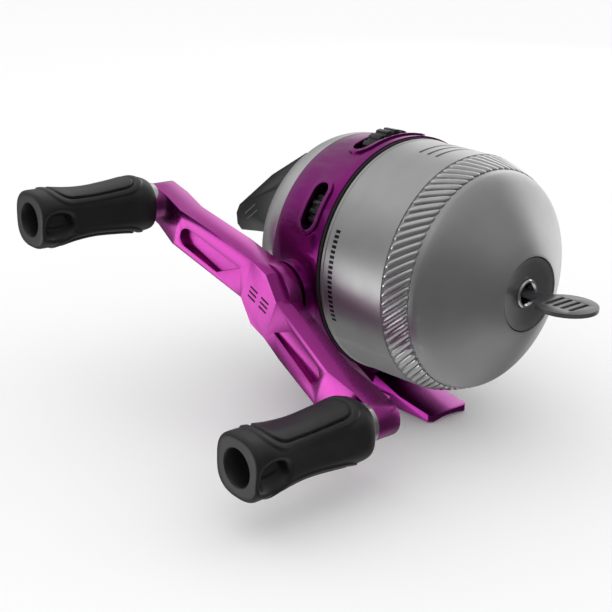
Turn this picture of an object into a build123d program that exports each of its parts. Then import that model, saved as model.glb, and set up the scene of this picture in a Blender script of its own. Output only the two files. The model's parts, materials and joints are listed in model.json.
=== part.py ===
from build123d import *
from math import cos, radians, sin, sqrt
import os

# Spincast reel. +X points away from the handle, +Y to the rear (the angler's thumb), +Z up.
# The origin is the middle of the foot's flat underside, straight below the crank axis.
# Everything that turns with the line is centred on the main axis, parallel to Y at z = axis_height.
# An angle round the main axis is counted from straight up towards the handle side (-X).

# ---- driving dimensions, mm ----
axis_height = 42.3          # main axis above the foot's underside
crank_drop = 7.05           # crank axis below the main axis
crank_height = axis_height - crank_drop
run_gap = 0.05              # radial clearance of a running fit
body_gap = 0.35             # open clearance between pieces of different bodies

# body casting
joint_y = -9.75             # plane where the front cover meets the body ring
ring_front_r = 33.6
ring_rear_r = 31.5
ring_rear_y = 10.55
ring_wall = 2.3
ring_inner_r = ring_rear_r - ring_wall
lip_width = 1.3
deck_t = 2.3
deck_rear_y = -16.2
deck_front_y = deck_rear_y - deck_t
spool_post_r = 6.0          # post that carries the spool
spool_post_front_y = -33.4
boss_r = 8.95               # crank boss on the handle side
boss_face_x = -36.0
far_boss_r = 7.0
far_boss_face_x = 34.0
boss_inner_x = 26.0
boss_recess_r = 7.9
boss_recess_depth = 2.4
lip_rise = 0.7              # raised lips round the two wheel slots

# foot
foot_half_length = 30.2
foot_width = 15.0
foot_tip_t = 1.9
foot_root_y = 4.0
foot_root_z = 8.4
foot_mid_y = 18.0
foot_mid_z = 3.7
base_half_length = 14.0
base_width = 10.6
base_step_z = 3.6
arch_rise = 0.7             # hollow under each tongue
stem_front_y = -7.0
stem_rear_y = 8.5
stem_top_half = 23.0
stem_top_drop = 21.5
stem_wall = 2.2

# front cover
cover_gap = 0.3
cover_wall = 1.4
cover_rear_r = 33.0
seal_t = 0.6
cover_rear_y = joint_y - seal_t - cover_gap
knurl_rear_r = 32.24
knurl_rear_y = -33.03
knurl_front_r = 29.6
knurl_front_y = -39.68
dome_shoulder = (25.6, -44.4)
dome_flank = (17.7, -49.7)
nose_r = 10.2
nose_y = -54.05
insert_t = 2.6
guide_bore_r = 2.7
guide_rim_r = 3.8
guide_step = 0.6            # shoulder of the line guide's rim
dish_depth = 1.5

# line keeper
keeper_r = 7.9
keeper_t = 1.1
keeper_reach = 11.3         # keeper centre ahead of the nose
keeper_neck = 3.4

# back cover
dome_depth = 20.0
back_wall = 1.5
post_r = 3.1
post_radius = 24.5
post_angles = (76, 128, 232, 284)
post_front_y = 3.0
post_rear_y = 15.6
screw_r = 1.5
screw_head_r = 2.9
screw_head_t = 1.8
screw_length = 10.0
well_wall = 1.1

# thumb button
button_half = 14.0
button_hinge_y = 19.8
button_hinge_z = axis_height + 20.6
button_hinge_r = 2.7
button_pin_r = 1.3
button_wall = 2.2
window_gap = 0.6            # open line between the button and the back cover
window_front_y = 16.6
window_floor_drop = 6.0

# crank, drive gear and pinion
shaft_r = 3.0
bushing_t = 1.5
bushing_flange_r = 6.2
bushing_flange_t = 1.0
gear_teeth = 36
gear_r = 15.3
gear_tooth_inner_r = 13.6
gear_face_x = -5.0
gear_disc_t = 3.0
gear_tooth_h = 1.9
gear_tooth_root = 0.42
gear_tooth_tip = 0.30
pinion_teeth = 10
pinion_root_r = 2.75
pinion_tip_r = 4.3
pinion_tooth_root = 0.62
pinion_tooth_tip = 0.24
pinion_tube_r = 3.2
pinion_front_y = -35.4
pinion_rear_y = -8.2
ratchet_teeth = 16
ratchet_r = 8.2
ratchet_depth = 1.3
ratchet_x = 5.0
ratchet_t = 1.8
pawl_bearing = 219.0        # direction of the pawl from the crank axis, from +Z towards -Y
pawl_distance = 15.2
pawl_pin_r = 1.1

# centre shaft and spinner head
centre_r = 1.9
centre_front_y = -46.4
centre_rear_y = 27.25
collar_y = 8.2
collar_t = 1.2
collar_r = 3.6
spring_wire = 0.35
spring_r = 2.75
spring_turns = 7
head_r = 26.9
head_rim_y = -28.9
head_shoulder_y = -35.4
head_front_y = -41.4
head_wall = 1.4
head_front_r = 13.0
head_hub_r = 5.2
pickup_r = 1.1
pickup_inner_r = 21.5
pickup_out = 0.9

# spool
washer_t = 1.2
spool_rear_y = deck_front_y - washer_t - 1.2
spool_front_y = -31.6
rear_flange_r = 27.0
front_flange_r = 24.9
flange_t = 1.1
spool_core_r = 13.0
line_r = 21.5
click_r = 20.4
click_teeth = 24

# thumb wheels in the ring's slots
wheel_y = -2.75
drag_angle = 4.0
drag_wheel_r = 11.0
drag_proud = 2.0
drag_wheel_half = 2.2
drag_slot_half = 11.9
slot_width = 5.6
side_angle = 59.5
side_wheel_r = 6.2
side_sunk = 0.35
side_wheel_half = 1.9
side_slot_half = 6.9
spindle_r = 1.25

# handle
throw = 48.83               # crank axis to knob axis
arm_angle = 22.04           # forward arm below the horizontal
hub_face_x = -45.0
hub_back_x = -37.4
handle_hub_r = 9.2
neck_r = 5.0
rake_end = 34.0
rake_x = -49.6
tip_x = -48.2
arm_t = 7.4
arm_low = -4.0               # arm edges across its length
arm_high = 8.3
arm_shoulder = 6.5           # end of the hub's slanted corner
arm_straight = 15.0
arm_bend_high = 6.8
arm_tip_low = -4.6
tip_r = 4.9
pocket_low = -2.4
pocket_high = 3.3
pocket_start = 9.5
pocket_end = 32.0
pocket_depth = 2.4
spindle_pin_r = 2.2
knob_inner_x = -51.0
knob_outer_x = -86.7
knob_hole_r = 4.5
knob_hole_depth = 8.0
collar_disc_r = 5.2


# ---- helpers ----
def turned(points):
    """Solid turned about the main axis from (radius, y) corners."""
    face = make_face(Polyline(*points, close=True))
    return Pos(0, 0, axis_height) * revolve(face, Axis.Y)


def tube_y(outer, inner, y0, y1):
    """Ring about the main axis."""
    return turned([(inner, y0), (outer, y0), (outer, y1), (inner, y1)])


def rod_y(r, y0, y1, x=0.0, z=axis_height):
    """Cylinder parallel to Y."""
    return Pos(x, (y0 + y1) / 2, z) * Rot(90, 0, 0) * Cylinder(r, y1 - y0)


def rod_x(r, x0, x1, y=0.0, z=crank_height):
    """Cylinder parallel to X."""
    return Pos((x0 + x1) / 2, y, z) * Rot(0, 90, 0) * Cylinder(r, x1 - x0)


def block(x0, x1, y0, y1, z0, z1):
    """Box between two corners."""
    return Pos((x0 + x1) / 2, (y0 + y1) / 2, (z0 + z1) / 2) * Box(x1 - x0, y1 - y0, z1 - z0)


def around(angle):
    """Place whose +Z points out from the main axis at this angle."""
    return Pos(0, 0, axis_height) * Rot(0, -angle, 0)


def about_crank(angle):
    """Turn about the crank axis."""
    return Pos(0, 0, crank_height) * Rot(angle, 0, 0) * Pos(0, 0, -crank_height)


def side_plate(points, x0, x1):
    """Outline of (y, z) corners, extruded from x0 to x1."""
    face = make_face(Polyline(*[(x0, y, z) for y, z in points], close=True))
    return extrude(face, amount=x1 - x0, dir=(1, 0, 0))


def slot_prism(half, width, r0, r1):
    """Stadium along the tangent at the top of the ring, standing from r0 to r1."""
    return Pos(0, wheel_y, r0) * extrude(SlotOverall(2 * half, width), amount=r1 - r0)


# ---- body casting ----
def ring_radius(y):
    """Outer radius of the tapered body ring."""
    share = (y - joint_y) / (ring_rear_y - joint_y)
    return ring_front_r + (ring_rear_r - ring_front_r) * share


def ring_solid(rise=0.0):
    """Tapered disc the size of the body ring, raised by the given amount."""
    front = ring_front_r + rise
    rear = ring_rear_r + rise
    return turned([(0, joint_y), (front, joint_y), (rear, ring_rear_y), (0, ring_rear_y)])


def foot():
    """Foot with two tongues, a narrower base between them and a shallow hollow under each tongue."""
    top = [(-foot_half_length, foot_tip_t), (-foot_mid_y, foot_mid_z), (-foot_root_y, foot_root_z)]
    outline = [(-foot_half_length, 0)] + top + [(-y, z) for y, z in reversed(top)] + [(foot_half_length, 0)]
    plate = side_plate(outline, -foot_width / 2, foot_width / 2)
    tips = plate.edges().filter_by(Axis.Z).group_by(SortBy.LENGTH)[0]
    plate = fillet(tips, 1.4)
    reach = foot_width
    for side in (-1, 1):
        inner = side * base_width / 2
        outer = side * reach
        plate -= block(min(inner, outer), max(inner, outer), -base_half_length, base_half_length, 0, base_step_z)
        for groove_z in (1.5, 2.6):
            rim = side * (base_width / 2 - 0.35)
            plate -= block(min(rim, outer), max(rim, outer), -base_half_length, base_half_length,
                           groove_z, groove_z + 0.35)
    hollow_r = (36 + arch_rise ** 2) / (2 * arch_rise)
    for start, end in ((-foot_half_length, -base_half_length), (base_half_length, foot_half_length)):
        plate -= rod_y(hollow_r, start, end, 0, arch_rise - hollow_r)
    return plate


def stem():
    """Saddle that spreads from the foot up to the ring, hollowed from the front and the rear."""
    half = foot_width / 2
    top_z = axis_height - stem_top_drop
    outline = [(-stem_top_half, top_z), (-half, 4.4), (half, 4.4), (stem_top_half, top_z)]
    face = make_face(Polyline(*[(x, stem_front_y, z) for x, z in outline], close=True))
    saddle = extrude(face, amount=stem_rear_y - stem_front_y, dir=(0, 1, 0))
    inner = [(-stem_top_half + 2 * stem_wall, top_z), (-half + stem_wall / 2, 4.4 + 1.6 * stem_wall),
             (half - stem_wall / 2, 4.4 + 1.6 * stem_wall), (stem_top_half - 2 * stem_wall, top_z)]
    pocket = make_face(Polyline(*[(x, stem_front_y, z) for x, z in inner], close=True))
    depth = (stem_rear_y - stem_front_y - stem_wall) / 2
    saddle -= extrude(pocket, amount=depth, dir=(0, 1, 0))
    saddle -= Pos(0, stem_rear_y - stem_front_y - depth, 0) * extrude(pocket, amount=depth, dir=(0, 1, 0))
    saddle += block(-stem_wall / 2, stem_wall / 2, stem_front_y, stem_rear_y, 6.0, axis_height - ring_rear_r + 1)
    return saddle


def wheel_slot(angle, half):
    """Slot through the ring and the raised lip round it, for a thumb wheel."""
    place = around(angle)
    lip = place * slot_prism(half + lip_width, slot_width + 2 * lip_width, ring_inner_r, ring_front_r + 3)
    lip &= ring_solid(lip_rise)
    cut = place * slot_prism(half, slot_width, ring_inner_r - 4, ring_front_r + 6)
    return lip, cut


def spigot_radius():
    """Radius of the body's spigot, clear of the tapering cover all the way to the deck."""
    taper = (cover_rear_r - knurl_rear_r) / (cover_rear_y - knurl_rear_y)
    return cover_rear_r - taper * (cover_rear_y - deck_front_y) - cover_wall - body_gap


def body_frame():
    """One casting: ring, spigot, deck, spool post, crank bosses, screw posts, stem and foot."""
    shell = ring_solid()
    shell += rod_y(spigot_radius(), deck_front_y, joint_y)
    shell += stem()
    shell += rod_x(boss_r, boss_face_x, -boss_inner_x)
    shell += rod_x(far_boss_r, boss_inner_x, far_boss_face_x)
    lips = []
    cuts = []
    for angle, half in ((drag_angle, drag_slot_half), (side_angle, side_slot_half)):
        lip, cut = wheel_slot(angle, half)
        lips.append(lip)
        cuts.append(cut)
    for lip in lips:
        shell += lip
    bore = rod_y(ring_inner_r, deck_rear_y, ring_rear_y + 1)
    keep = rod_x(boss_r, boss_face_x, -boss_inner_x) + rod_x(far_boss_r, boss_inner_x, far_boss_face_x)
    shell = shell - bore + keep + foot()
    for angle in post_angles:
        post = around(angle) * Pos(0, (post_front_y + post_rear_y) / 2, post_radius) * Rot(90, 0, 0)
        shell += post * Cylinder(post_r, post_rear_y - post_front_y)
        web_end = min(post_rear_y, ring_rear_y)
        shell += around(angle) * block(-1, 1, post_front_y, web_end, post_radius + 1, ring_inner_r + 0.5)
        shell -= post * Cylinder(screw_r, post_rear_y - post_front_y + 1)
    shell += rod_y(spool_post_r, spool_post_front_y, deck_front_y)
    shell -= rod_y(bushing_outer_r(), spool_post_front_y - 1, deck_rear_y + 1)
    shell -= rod_x(shaft_r + bushing_t, boss_face_x - 1, -boss_inner_x + 1)
    shell -= rod_x(shaft_r + bushing_t, boss_inner_x - 1, far_boss_face_x + 1)
    shell -= rod_x(boss_recess_r, boss_face_x - 1, boss_face_x + boss_recess_depth)
    shell -= rod_x(cap_r() + run_gap, far_boss_face_x - cap_depth(), far_boss_face_x + 1)
    for cut in cuts:
        shell -= cut
    groove = tube_y(spool_post_r + 1, spool_post_r - 0.8, clip_y() - clip_t() - 0.02, clip_y() + 0.02)
    shell -= groove
    for angle, radius in ((drag_angle, drag_axis_r()), (side_angle, side_axis_r())):
        seat = around(angle) * Pos(0, (deck_rear_y - 6.2) / 2, radius) * Rot(90, 0, 0)
        shell += seat * Cylinder(spindle_r + 1.6, -6.2 - deck_rear_y)
        shell -= seat * Cylinder(spindle_r + run_gap, 60)
    y, z = pawl_place()
    shell += rod_x(pawl_pin_r + 1.3, ratchet_x + ratchet_t + body_gap, ratchet_x + 6.5, y, z)
    shell += block(ratchet_x + ratchet_t + body_gap, ratchet_x + 6.5, deck_rear_y - 0.5, y, z - 2.2, z + 2.2)
    shell -= rod_x(pawl_pin_r, ratchet_x + ratchet_t, ratchet_x + 6.6, y, z)
    return shell


def cap_r():
    """Radius of the plug in the far boss."""
    return far_boss_r - 1.5


def cap_depth():
    """How deep the far boss is counterbored for the plug and the screw head."""
    return 4.6


def bushing_outer_r():
    """Outer radius of the pinion bushing."""
    return pinion_tube_r + run_gap + 1.1


def clip_t():
    """Thickness of the spool's retaining clip."""
    return 0.6


def clip_y():
    """Rear face of the spool's retaining clip."""
    return spool_front_y - 0.25


def drag_axis_r():
    """Distance of the drag wheel's axis from the main axis."""
    return ring_radius(wheel_y) + drag_proud - drag_wheel_r


def side_axis_r():
    """Distance of the alert wheel's axis from the main axis."""
    return ring_radius(wheel_y) - side_sunk - side_wheel_r


def pawl_place():
    """(y, z) of the pawl's pin."""
    turn = radians(pawl_bearing)
    return pawl_distance * sin(turn), crank_height + pawl_distance * cos(turn)


def front_seal():
    """Black sealing ring seated on the spigot against the body ring."""
    return tube_y(cover_rear_r + 0.2, spigot_radius(), joint_y - seal_t, joint_y)


def pinion_bushing():
    """Flanged bush through the deck and the spool post."""
    inner = pinion_tube_r + run_gap
    outer = bushing_outer_r()
    flange_r = outer + 1.0
    flange_y = deck_rear_y + 0.5
    return turned([(inner, spool_post_front_y), (outer, spool_post_front_y), (outer, deck_rear_y),
                   (flange_r, deck_rear_y), (flange_r, flange_y), (inner, flange_y)])


def crank_bushing(inner_x, outer_x):
    """Flanged bush for the crank shaft, its flange inside the body."""
    away = 1 if outer_x > inner_x else -1
    flange_x = inner_x - away * bushing_flange_t
    sleeve = rod_x(shaft_r + bushing_t, min(inner_x, outer_x), max(inner_x, outer_x))
    sleeve += rod_x(bushing_flange_r, min(inner_x, flange_x), max(inner_x, flange_x))
    span = (min(inner_x, outer_x, flange_x) - 1, max(inner_x, outer_x, flange_x) + 1)
    return sleeve - rod_x(shaft_r + run_gap, *span)


def side_cap():
    """Plug in the far boss over the handle screw."""
    face_x = far_boss_face_x + 1.0
    cap = rod_x(cap_r(), far_boss_face_x - 1.6, face_x)
    cap = fillet(cap.edges().sort_by(Axis.X)[-1], 0.6)
    return cap - block(face_x - 0.6, face_x + 1, -3.4, 3.4, crank_height - 0.6, crank_height + 0.6)


# ---- front cover ----
def cover_curve(inset):
    """Outline of the cover from its rear edge to the nose, moved inwards by the inset."""
    slant = 0.75 * inset
    rear = (cover_rear_r - inset, cover_rear_y)
    knurl_rear = (knurl_rear_r - inset, knurl_rear_y)
    knurl_front = (knurl_front_r - inset, knurl_front_y + 0.3 * inset)
    shoulder = (dome_shoulder[0] - slant, dome_shoulder[1] + slant)
    flank = (dome_flank[0] - slant, dome_flank[1] + slant)
    nose = (nose_r - 0.4 * inset, nose_y + inset)
    straight = Polyline(rear, knurl_rear, knurl_front)
    dome = Spline(knurl_front, shoulder, flank, nose)
    return straight, dome, rear, nose


def front_cover():
    """Thin drawn cover with a grip band and a domed nose."""
    outer_line, outer_dome, outer_rear, outer_nose = cover_curve(0)
    inner_line, inner_dome, inner_rear, inner_nose = cover_curve(cover_wall)
    edges = outer_line.edges() + outer_dome.edges() + inner_line.edges() + inner_dome.edges()
    edges += Line(outer_rear, inner_rear).edges() + Line(outer_nose, inner_nose).edges()
    face = make_face(edges)
    return Pos(0, 0, axis_height) * revolve(face, Axis.Y)


def nose_insert():
    """Dark dished ring that fills the nose and carries the line guide."""
    rim = nose_r - 0.4 * cover_wall
    back = nose_y + insert_t
    bore = guide_rim_r - guide_step
    return turned([(bore, nose_y + dish_depth), (rim, nose_y + 0.3), (rim, back), (bore, back)])


def line_guide():
    """Polished eyelet that the line leaves through."""
    inner = guide_bore_r
    outer = guide_rim_r - guide_step
    front = nose_y + dish_depth - 1.0
    seat = front + 0.8
    back = nose_y + insert_t + 0.8
    return turned([(inner, front + 0.5), (inner + 0.4, front), (guide_rim_r - 0.3, front), (guide_rim_r, front + 0.3),
                   (guide_rim_r, seat), (outer, seat), (outer, back), (inner, back)])


def line_keeper():
    """Flat tab that holds the line end in the guide until the reel is rigged."""
    z = axis_height - keeper_t / 2
    centre_y = nose_y - keeper_reach
    disc = Pos(0, centre_y, z) * extrude(Circle(keeper_r), amount=keeper_t)
    half = keeper_neck / 2
    end_y = nose_y + insert_t + 1.1
    barb = guide_bore_r - 0.35
    disc += block(-half, half, centre_y, end_y, z, z + keeper_t)
    disc += block(-barb, barb, end_y - 1.0, end_y, z, z + keeper_t)
    for y in (-3.6, -1.2, 1.2, 3.6):
        disc -= Pos(0, centre_y + y, z - 1) * extrude(SlotOverall(7.6, 1.1), amount=keeper_t + 2)
    return disc


# ---- back cover ----
def dome_shell(shell):
    """Solid dome behind the ring, smaller by the shell on all sides."""
    arc = EllipticalCenterArc((0, ring_rear_y), ring_rear_r - shell, dome_depth - shell, start_angle=0, arc_size=90)
    rim = (ring_rear_r - shell, ring_rear_y)
    top = (0, ring_rear_y + dome_depth - shell)
    base = Polyline(top, (0, ring_rear_y), rim)
    return Pos(0, 0, axis_height) * revolve(make_face(arc.edges() + base.edges()), Axis.Y)


def button_window():
    """Opening in the back cover that the thumb button works in."""
    half = button_half + window_gap
    floor_z = axis_height - window_floor_drop
    return block(-half, half, window_front_y, ring_rear_y + dome_depth + 1, floor_z, axis_height + ring_rear_r)


def back_cover():
    """Domed rear cover with the button's window, hinge ears and four screw wells."""
    cover = dome_shell(0) - dome_shell(back_wall)
    core = dome_shell(back_wall / 2)
    for angle in post_angles:
        place = around(angle) * Pos(0, 0, post_radius) * Rot(-90, 0, 0)
        outer = screw_head_r + 0.3 + well_wall
        well = place * Pos(0, 0, post_rear_y) * Cylinder(outer, 20, align=(Align.CENTER, Align.CENTER, Align.MIN))
        cover += well & core
        hole = place * Pos(0, 0, post_rear_y + 1.4)
        cover -= hole * Cylinder(screw_head_r + 0.3, 20, align=(Align.CENTER, Align.CENTER, Align.MIN))
        cover -= place * Pos(0, 0, post_rear_y) * Cylinder(screw_r + 0.2, 8)
    cover -= button_window()
    for side in (-1, 1):
        near = side * (button_half + window_gap)
        far = side * (button_half + window_gap + 2.2)
        ear = block(min(near, far), max(near, far), button_hinge_y - 3, button_hinge_y + 3,
                    button_hinge_z - 3, button_hinge_z + 3)
        cover += ear & core
    reach = pin_reach()
    return cover - rod_x(button_pin_r, -reach, reach, button_hinge_y, button_hinge_z)


def pin_reach():
    """Half length of the thumb button's hinge pin."""
    return button_half + window_gap + 1.5


def back_cover_screws():
    """Four pan-head screws as one group."""
    screws = []
    for angle in post_angles:
        place = around(angle) * Pos(0, post_rear_y + 1.4, post_radius) * Rot(-90, 0, 0)
        low = (Align.CENTER, Align.CENTER, Align.MIN)
        high = (Align.CENTER, Align.CENTER, Align.MAX)
        screw = Cylinder(screw_head_r, screw_head_t, align=low)
        screw = fillet(screw.edges().sort_by(Axis.Z)[-1], 0.7)
        screw -= Pos(0, 0, screw_head_t) * (Box(3.4, 0.7, 1.6) + Box(0.7, 3.4, 1.6))
        screw += Cylinder(screw_r - 0.03, screw_length, align=high)
        screws.append(place * screw)
    return Compound(children=screws)


# ---- thumb button ----
def thumb_button():
    """Wide sloping button, hinged at its upper front edge and hollow inside."""
    z0 = axis_height
    outline = [(17.9, z0 + 26.0), (33.0, z0 + 17.0), (48.6, z0 + 4.9), (50.1, z0 + 2.0), (49.6, z0 - 1.4), (47.4, z0 - 2.9),
               (39.0, z0 - 1.6), (31.0, z0 - 0.6), (28.0, z0 - 3.0), (27.2, z0 + 3.0), (18.0, z0 + 18.4)]
    hollow = [(16.5, z0 + 15.0), (22.5, z0 + 19.6), (33.0, z0 + 13.6), (45.6, z0 + 3.6), (45.0, z0 + 0.6), (32.0, z0 + 1.8),
              (29.6, z0 + 3.2), (25.0, z0 + 3.2)]
    inner_half = button_half - button_wall
    button = side_plate(outline, -button_half, button_half)
    long_edges = button.edges().filter_by(Axis.X).sort_by(Axis.Y)[-4:]
    button = fillet(long_edges, 0.9)
    button -= side_plate(hollow, -inner_half, inner_half)
    button -= block(-inner_half, inner_half, 16, 27.6, z0 - 4, z0 + 14)
    button += rod_x(button_hinge_r, -button_half, button_half, button_hinge_y, button_hinge_z)
    return button - rod_x(button_pin_r + run_gap, -20, 20, button_hinge_y, button_hinge_z)


def button_pin():
    """Hinge pin of the thumb button, held by the back cover's ears."""
    reach = pin_reach()
    return rod_x(button_pin_r, -reach, reach, button_hinge_y, button_hinge_z)


# ---- crank and gears ----
def crank_shaft():
    """Steel shaft from the handle hub to the far boss, bored for the handle screw."""
    end_x = far_boss_face_x - cap_depth() + 0.3
    shaft = rod_x(shaft_r, hub_face_x + 3.0, end_x)
    shaft += rod_x(shaft_r + 1.6, gear_face_x - gear_disc_t - 1.6, gear_face_x - gear_disc_t)
    return shaft - rod_x(screw_r, end_x - 16, end_x + 1)


def drive_gear():
    """Face gear whose tooth lines pass the crank axis at the pinion's offset."""
    back_x = gear_face_x - gear_disc_t
    gear = rod_x(gear_r, back_x, gear_face_x)
    for k in range(6):
        hole = about_crank(60 * k + 30) * rod_x(2.6, back_x - 1, gear_face_x + 1, 0, crank_height + 8.0)
        gear -= hole
    start = -sqrt(gear_r ** 2 - crank_drop ** 2)
    end = -sqrt(gear_tooth_inner_r ** 2 - crank_drop ** 2)
    root_x = gear_face_x - 0.3
    tip_x = gear_face_x + gear_tooth_h
    corners = [(root_x, -gear_tooth_root), (tip_x, -gear_tooth_tip), (tip_x, gear_tooth_tip), (root_x, gear_tooth_root)]
    face = make_face(Polyline(*[(x, start, axis_height + z) for x, z in corners], close=True))
    tooth = extrude(face, amount=end - start, dir=(0, 1, 0))
    teeth = [about_crank(k * 360 / gear_teeth) * tooth for k in range(gear_teeth)]
    gear = gear.fuse(*teeth)
    return gear - rod_x(shaft_r, back_x - 1, tip_x + 1)


def gear_clip():
    """Clip that keeps the drive gear against the shaft's shoulder."""
    return rod_x(shaft_r + 1.5, gear_face_x, gear_face_x + 0.8) - rod_x(shaft_r, gear_face_x - 1, gear_face_x + 2)


def ratchet_wheel():
    """Saw-toothed wheel that the pawl stops from turning back."""
    points = []
    for k in range(ratchet_teeth):
        base = pawl_bearing + 6.0 + k * 360 / ratchet_teeth
        for r, angle in ((ratchet_r, base), (ratchet_r - ratchet_depth, base - 2.0 + 360 / ratchet_teeth)):
            turn = radians(angle)
            points.append((r * sin(turn), crank_height + r * cos(turn)))
    wheel = side_plate(points, ratchet_x, ratchet_x + ratchet_t)
    return wheel - rod_x(shaft_r, ratchet_x - 1, ratchet_x + ratchet_t + 1)


def pawl():
    """Anti-reverse pawl, lifted just clear of the ratchet as it is while the crank turns forwards."""
    y, z = pawl_place()
    reach = pawl_distance - ratchet_r - body_gap
    lever = Pos(ratchet_x + 0.1, 0, 0) * extrude(Plane.YZ * Circle(pawl_pin_r + 1.1), amount=ratchet_t - 0.2)
    nose = [(-1.5, 0), (1.5, 0), (0.35, reach), (-0.35, reach)]
    lever += side_plate(nose, ratchet_x + 0.1, ratchet_x + ratchet_t - 0.1)
    lever = Pos(0, y, z) * Rot(180 - pawl_bearing, 0, 0) * lever
    return lever - rod_x(pawl_pin_r + run_gap, ratchet_x - 1, ratchet_x + ratchet_t + 1, y, z)


def pawl_pin():
    """Headed pin that the pawl swings on."""
    y, z = pawl_place()
    pin = rod_x(pawl_pin_r, ratchet_x - 0.2, ratchet_x + 6.5, y, z)
    return pin + rod_x(pawl_pin_r + 0.8, ratchet_x - 0.9, ratchet_x - 0.2, y, z)


def pinion_gear():
    """Pinion teeth on a tube that runs through the deck, bored for the centre shaft."""
    teeth_front = -sqrt(gear_r ** 2 - crank_drop ** 2) - 0.4
    teeth_rear = -sqrt(gear_tooth_inner_r ** 2 - crank_drop ** 2) + 0.4
    blank = tube_y(pinion_tube_r, 0, pinion_front_y, teeth_front) + tube_y(pinion_root_r, 0, teeth_front, pinion_rear_y)
    corners = [(-pinion_tooth_root, pinion_root_r - 0.4), (pinion_tooth_root, pinion_root_r - 0.4),
               (pinion_tooth_tip, pinion_tip_r), (-pinion_tooth_tip, pinion_tip_r)]
    face = make_face(Polyline(*[(x, teeth_front, r) for x, r in corners], close=True))
    tooth = extrude(face, amount=teeth_rear - teeth_front, dir=(0, 1, 0))
    pitch = 360 / pinion_teeth
    teeth = [around(90 + pitch / 2 + k * pitch) * tooth for k in range(pinion_teeth)]
    return blank.fuse(*teeth) - rod_y(centre_r + run_gap, pinion_front_y - 1, pinion_rear_y + 1)


def shaft_spring():
    """Coil spring between the pinion and the shaft's collar."""
    height = collar_y - pinion_rear_y - 2 * spring_wire - 0.1
    path = Helix(pitch=height / spring_turns, height=height, radius=spring_r)
    section = Plane(path @ 0, z_dir=path % 0) * Circle(spring_wire)
    coil = sweep(section, path, is_frenet=True)
    return Pos(0, pinion_rear_y + spring_wire + 0.05, axis_height) * Rot(-90, 0, 0) * coil


# ---- centre shaft and spinner head ----
def centre_shaft():
    """Push rod from the thumb button to the spinner head."""
    return rod_y(centre_r, centre_front_y, centre_rear_y)


def shaft_collar():
    """Clip on the shaft that the return spring pushes on."""
    return tube_y(collar_r, centre_r, collar_y, collar_y + collar_t)


def spinner_head():
    """Cup in front of the spool that winds the line on."""
    inner = head_r - head_wall
    back = head_front_y + head_wall
    cup = turned([(centre_r, head_front_y), (head_front_r, head_front_y), (head_r - 1.2, head_shoulder_y - 0.8),
                  (head_r, head_shoulder_y), (head_r, head_rim_y), (inner, head_rim_y),
                  (inner, head_shoulder_y + 0.4), (head_front_r, back), (head_hub_r, back),
                  (head_hub_r, pinion_front_y - 0.6), (centre_r, pinion_front_y - 0.6)])
    return cup - pickup_bore(pickup_r + run_gap)


def pickup_bore(r):
    """Radial rod through the head's wall where the pickup pin slides."""
    y = head_shoulder_y + 1.3
    length = head_r - pickup_inner_r + 4
    return Pos(0, y, axis_height + pickup_inner_r + length / 2) * Cylinder(r, length)


def pickup_pin():
    """Pin that stands out of the head's rim and catches the line."""
    y = head_shoulder_y + 1.3
    top = head_r + pickup_out
    low = head_r - head_wall - 2.0
    pin = Pos(0, y, axis_height + (top + low) / 2) * Cylinder(pickup_r, top - low)
    return fillet(pin.edges().sort_by(Axis.Z)[-1], 0.5)


def snub_ring():
    """Rubber ring on the head's front that pinches the line while the button is down."""
    return tube_y(head_front_r - 0.4, head_front_r - 2.6, head_front_y - 0.9, head_front_y)


def head_nut():
    """Nut that holds the spinner head on the shaft."""
    nut = Pos(0, head_front_y, axis_height) * Rot(90, 0, 0) * extrude(RegularPolygon(3.9, 6), amount=2.6)
    return nut - rod_y(centre_r, head_front_y - 4, head_front_y + 1)


# ---- spool ----
def spool():
    """Spool with a hollow core and two flanges of different size."""
    bore = spool_post_r + run_gap
    rear_in = spool_rear_y - flange_t
    front_in = spool_front_y + flange_t
    wall = 1.4
    return turned([(bore, spool_rear_y), (rear_flange_r, spool_rear_y), (rear_flange_r, rear_in),
                   (spool_core_r, rear_in), (spool_core_r, front_in), (front_flange_r, front_in),
                   (front_flange_r, spool_front_y), (spool_core_r - wall, spool_front_y),
                   (spool_core_r - wall, spool_rear_y - 2 * wall), (bore + wall, spool_rear_y - 2 * wall),
                   (bore + wall, spool_front_y), (bore, spool_front_y)])


def wound_line():
    """Line wound between the flanges."""
    rear = spool_rear_y - flange_t
    front = spool_front_y + flange_t
    swell = 0.8
    return turned([(spool_core_r, rear), (line_r - swell, rear), (line_r, rear - 1.5), (line_r, front + 1.5),
                   (line_r - swell, front), (spool_core_r, front)])


def click_ring():
    """Toothed ring behind the spool for the bite alert."""
    front = spool_rear_y
    back = spool_rear_y + 0.9
    points = []
    for k in range(2 * click_teeth):
        turn = radians(k * 180 / click_teeth)
        r = click_r if k % 2 == 0 else click_r - 1.2
        points.append((r * sin(turn), back, axis_height + r * cos(turn)))
    face = make_face(Polyline(*points, close=True))
    ring = extrude(face, amount=back - front, dir=(0, -1, 0))
    return ring - rod_y(click_r - 3.0, front - 1, back + 1)


def drag_washer():
    """Fibre washer between the deck and the spool."""
    return tube_y(spool_core_r - 1.0, spool_post_r, deck_front_y - washer_t, deck_front_y)


def spring_washer():
    """Dished steel washer that loads the spool's rear face."""
    front = spool_rear_y
    back = deck_front_y - washer_t
    inner = spool_post_r + 0.1
    outer = spool_core_r - 3.0
    return turned([(inner, back), (inner + 0.9, back), (outer, front + 0.65), (outer, front + 0.05),
                   (outer - 0.9, front + 0.05), (inner, back - 0.6)])


def spool_clip():
    """Retaining clip in the groove of the spool post."""
    return tube_y(spool_post_r + 1.5, spool_post_r - 0.8, clip_y() - clip_t(), clip_y())


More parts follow.
